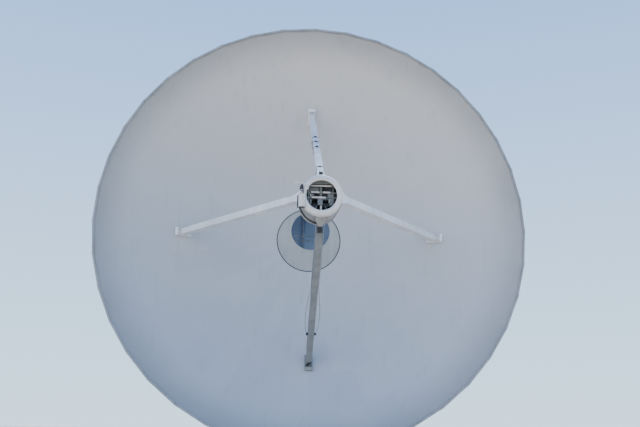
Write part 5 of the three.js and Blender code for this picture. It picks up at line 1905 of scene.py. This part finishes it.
# The deeper-set boxes are black, as painted shade for the dark recesses among the equipment.
inside, inside_shade = Bench(dish_place), Bench(dish_place)
for x0, x1, y0, y1, depth in (
    (-0.56, -0.12, 0.36, 0.56, 0.05), (0.14, 0.36, 0.40, 0.58, 0.14), (0.38, 0.60, 0.36, 0.60, 0.08),
    (-0.56, -0.34, 0.08, 0.24, 0.05), (-0.30, -0.10, 0.10, 0.22, 0.14), (0.12, 0.30, 0.09, 0.25, 0.12),
    (0.34, 0.60, 0.08, 0.24, 0.06), (-0.56, -0.46, -0.30, -0.03, 0.06), (-0.16, 0.10, -0.36, -0.02, 0.03),
    (0.12, 0.36, -0.08, -0.02, 0.04), (0.42, 0.60, -0.36, -0.02, 0.05), (-0.42, -0.16, -0.46, -0.28, 0.10),
    (0.12, 0.46, -0.42, -0.26, 0.08), (0.66, 0.90, -0.30, 0.36, 0.10), (-0.90, -0.66, -0.30, 0.36, 0.10),
):
    unit = inside_shade if depth > 0.07 else inside
    unit.block((x0, y0, RACK_FACE - 0.4), (x1, y1, RACK_FACE - depth))
    for row in range(3):
        y = y0 + (row + 0.6) * (y1 - y0) / 3.4
        unit.block((x0 + 0.02, y, RACK_FACE - depth), (x1 - 0.02, y + 0.012, RACK_FACE - depth + 0.006))
for x in (-0.48, 0.50):
    inside.bar((x * 0.4, -0.42, RACK_FACE - 0.06), (x, -0.80, RACK_FACE - 0.06), 0.05, 0.03)
inside.make("cabin_equipment", "dish", "galvanised", equipment_paint, ease=0.003)
inside_shade.make("cabin_equipment_shade", "dish", "dark_steel", black_rubber, ease=0.003)


# Side box and fittings: a white steel box on the drum's left, with the small fittings above it, and a stout
# armoured conduit that leaves it and runs round the drum's underside on clamps. Two thin dark slabs, under
# the box and beside its left edge, are painted shadow.

ARMOURED = {"radius": 0.034, "ring": 1.105, "level": 9.35, "fall": 0.5}
ARMOURED_WANDER = (0.0, 0.012, -0.006, 0.010)
BOX_BACK_FACE = 10.26
BRACKET_BACK = 10.05
RING_WIRE = 0.022

side_low, side_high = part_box("cabin_side_box")
x0, x1 = side_low.x, side_high.x
y0, y1 = side_low.z - axis_height, side_high.z - axis_height - 0.07
box_front = -side_low.y - VERTEX_FORWARD
side_box = Bench(dish_place)
for low, high in (
    ((x0, y0, BOX_BACK_FACE), (x1, y1, box_front - 0.025)),
    ((x0 + 0.012, y0 + 0.012, box_front - 0.022), (x1 - 0.012, y1 - 0.012, box_front)),
    ((x0 + 0.03, y0 + 0.05, BRACKET_BACK), (x0 + 0.09, y1 - 0.05, BOX_BACK_FACE + 0.01)),
    ((x0 + 0.09, y0 + 0.25, BRACKET_BACK + 0.07), (x1 - 0.06, y0 + 0.31, BOX_BACK_FACE + 0.01)),
):
    side_box.block(low, high)
side_box.make("side_box", "dish", "cabin_paint", cabin_paint, ["cabin_side_box"], ease=0.01)

pale_fittings = Bench(dish_place)
pale_fittings.turned([(0.12 + x, z) for x, z in circle(RING_WIRE, 8)], 40, shift(-0.79, 0.36, 10.44))
for start, end, width in (
    ((-0.79, 0.26, 10.40), (-0.80, 0.14, 10.36), 0.03), ((-0.76, 0.44, 10.40), (-0.72, 0.52, 10.34), 0.03),
    ((-1.30, 0.60, 10.42), (-0.84, 0.64, 10.36), 0.02),
):
    pale_fittings.bar(start, end, width, 0.03)
pale_fittings.block((-1.34, 0.57, 10.39), (-1.20, 0.64, 10.46))
hook = [(-1.07, 0.08, 10.44), (-1.08, 0.16, 10.50), (-1.03, 0.21, 10.50), (-0.97, 0.18, 10.48)]
pale_fittings.pipe(hook, 0.024)
pale_fittings.make("cabin_fittings_pale", "dish", "cabin_paint", cabin_paint, ease=0.003)

dark_fittings_and_shade = Bench(dish_place)
for start, end, radius, sides in (
    ((-1.02, 0.20, 10.40), (-1.0, 0.42, 10.44), 0.095, 24),
    ((-1.0, 0.42, 10.44), (-0.99, 0.50, 10.46), 0.06, 16),
    ((-1.022, 0.16, 10.39), (-1.02, 0.20, 10.40), 0.06, 16),
):
    dark_fittings_and_shade.tube(start, end, radius, sides)
dark_fittings_and_shade.bar((-1.0, 0.31, 10.42), (-0.90, 0.31, 10.30), 0.05, 0.05)
dark_fittings_and_shade.block((-0.96, 0.06, 10.44), (-0.91, 0.20, 10.49))
# Painted shadow: a thin dark slab under the side box.
dark_fittings_and_shade.block((x0 + 0.05, y0 - 0.02, 10.27), (x1 - 0.02, y0 + 0.004, 10.44))
dark_fittings_and_shade.block((-0.60, 0.985, 10.35), (-0.585, 1.0, 10.36))
turns = [math.radians(a) for a in range(192, 266, 4)]
spots = []
for i, turn in enumerate(turns):
    z = ARMOURED["level"] - ARMOURED["fall"] * i / len(turns)
    spots.append((ARMOURED["ring"] + ARMOURED_WANDER[i % 4], turn, z))
path = [(x0 + 0.03, y0 + 0.1, 10.12), (-1.10, -0.40, 9.96), (-1.12, -0.30, 9.6)]
path += [(r * math.cos(a), r * math.sin(a), z) for r, a, z in spots]
dark_fittings_and_shade.pipe(path, ARMOURED["radius"])
# Painted shade: a thin dark slab beside the side box's left edge, against the drum.
dark_fittings_and_shade.block((x0 - 0.05, y0 + 0.03, 10.06), (-1.06, y1 - 0.02, 10.25))
for r, a, z in spots[1::4]:
    clamp = Matrix.Rotation(a, 4, "Z")
    dark_fittings_and_shade.block((1.045, -0.015, z - 0.035), (r + 0.035, 0.015, z + 0.035), clamp)
dark_fittings_and_shade.make("cabin_fittings_and_shade", "dish", "dark_steel", black_rubber, ease=0.002)


# Receiver: a round can on the rear plate, inside the drum, with two bands, and its horn, which looks back at
# the bowl through a bolted flange.

CAN_RADIUS = 0.38

feed_can = Bench(dish_place)
can = [(0.0, DRUM_BACK), (CAN_RADIUS, DRUM_BACK), (CAN_RADIUS, 9.06), (CAN_RADIUS - 0.03, 9.1), (0.0, 9.1)]
feed_can.turned(can, 64, loop=False)
for z in (8.5, 8.8):
    feed_can.hoop(CAN_RADIUS - 0.01, CAN_RADIUS + 0.02, z, z + 0.03, 64)
feed_can.make("receiver_can", "dish", "galvanised", zinc, ["receiver"])
horn = Bench(dish_place)
horn.turned([
    (0.25, 8.247), (0.25, 8.15), (0.30, 8.14), (0.30, 8.12), (0.255, 8.11), (0.43, 7.80), (0.45, 7.79),
    (0.45, 7.775), (0.41, 7.775), (0.225, 8.13), (0.22, 8.247),
], 64)
horn.bolt_ring(shift(z=8.12) @ FACE_DOWN, 0.275, 16, 0.02)
horn.make("horn", "dish", "galvanised", zinc, ["feed_horn"])
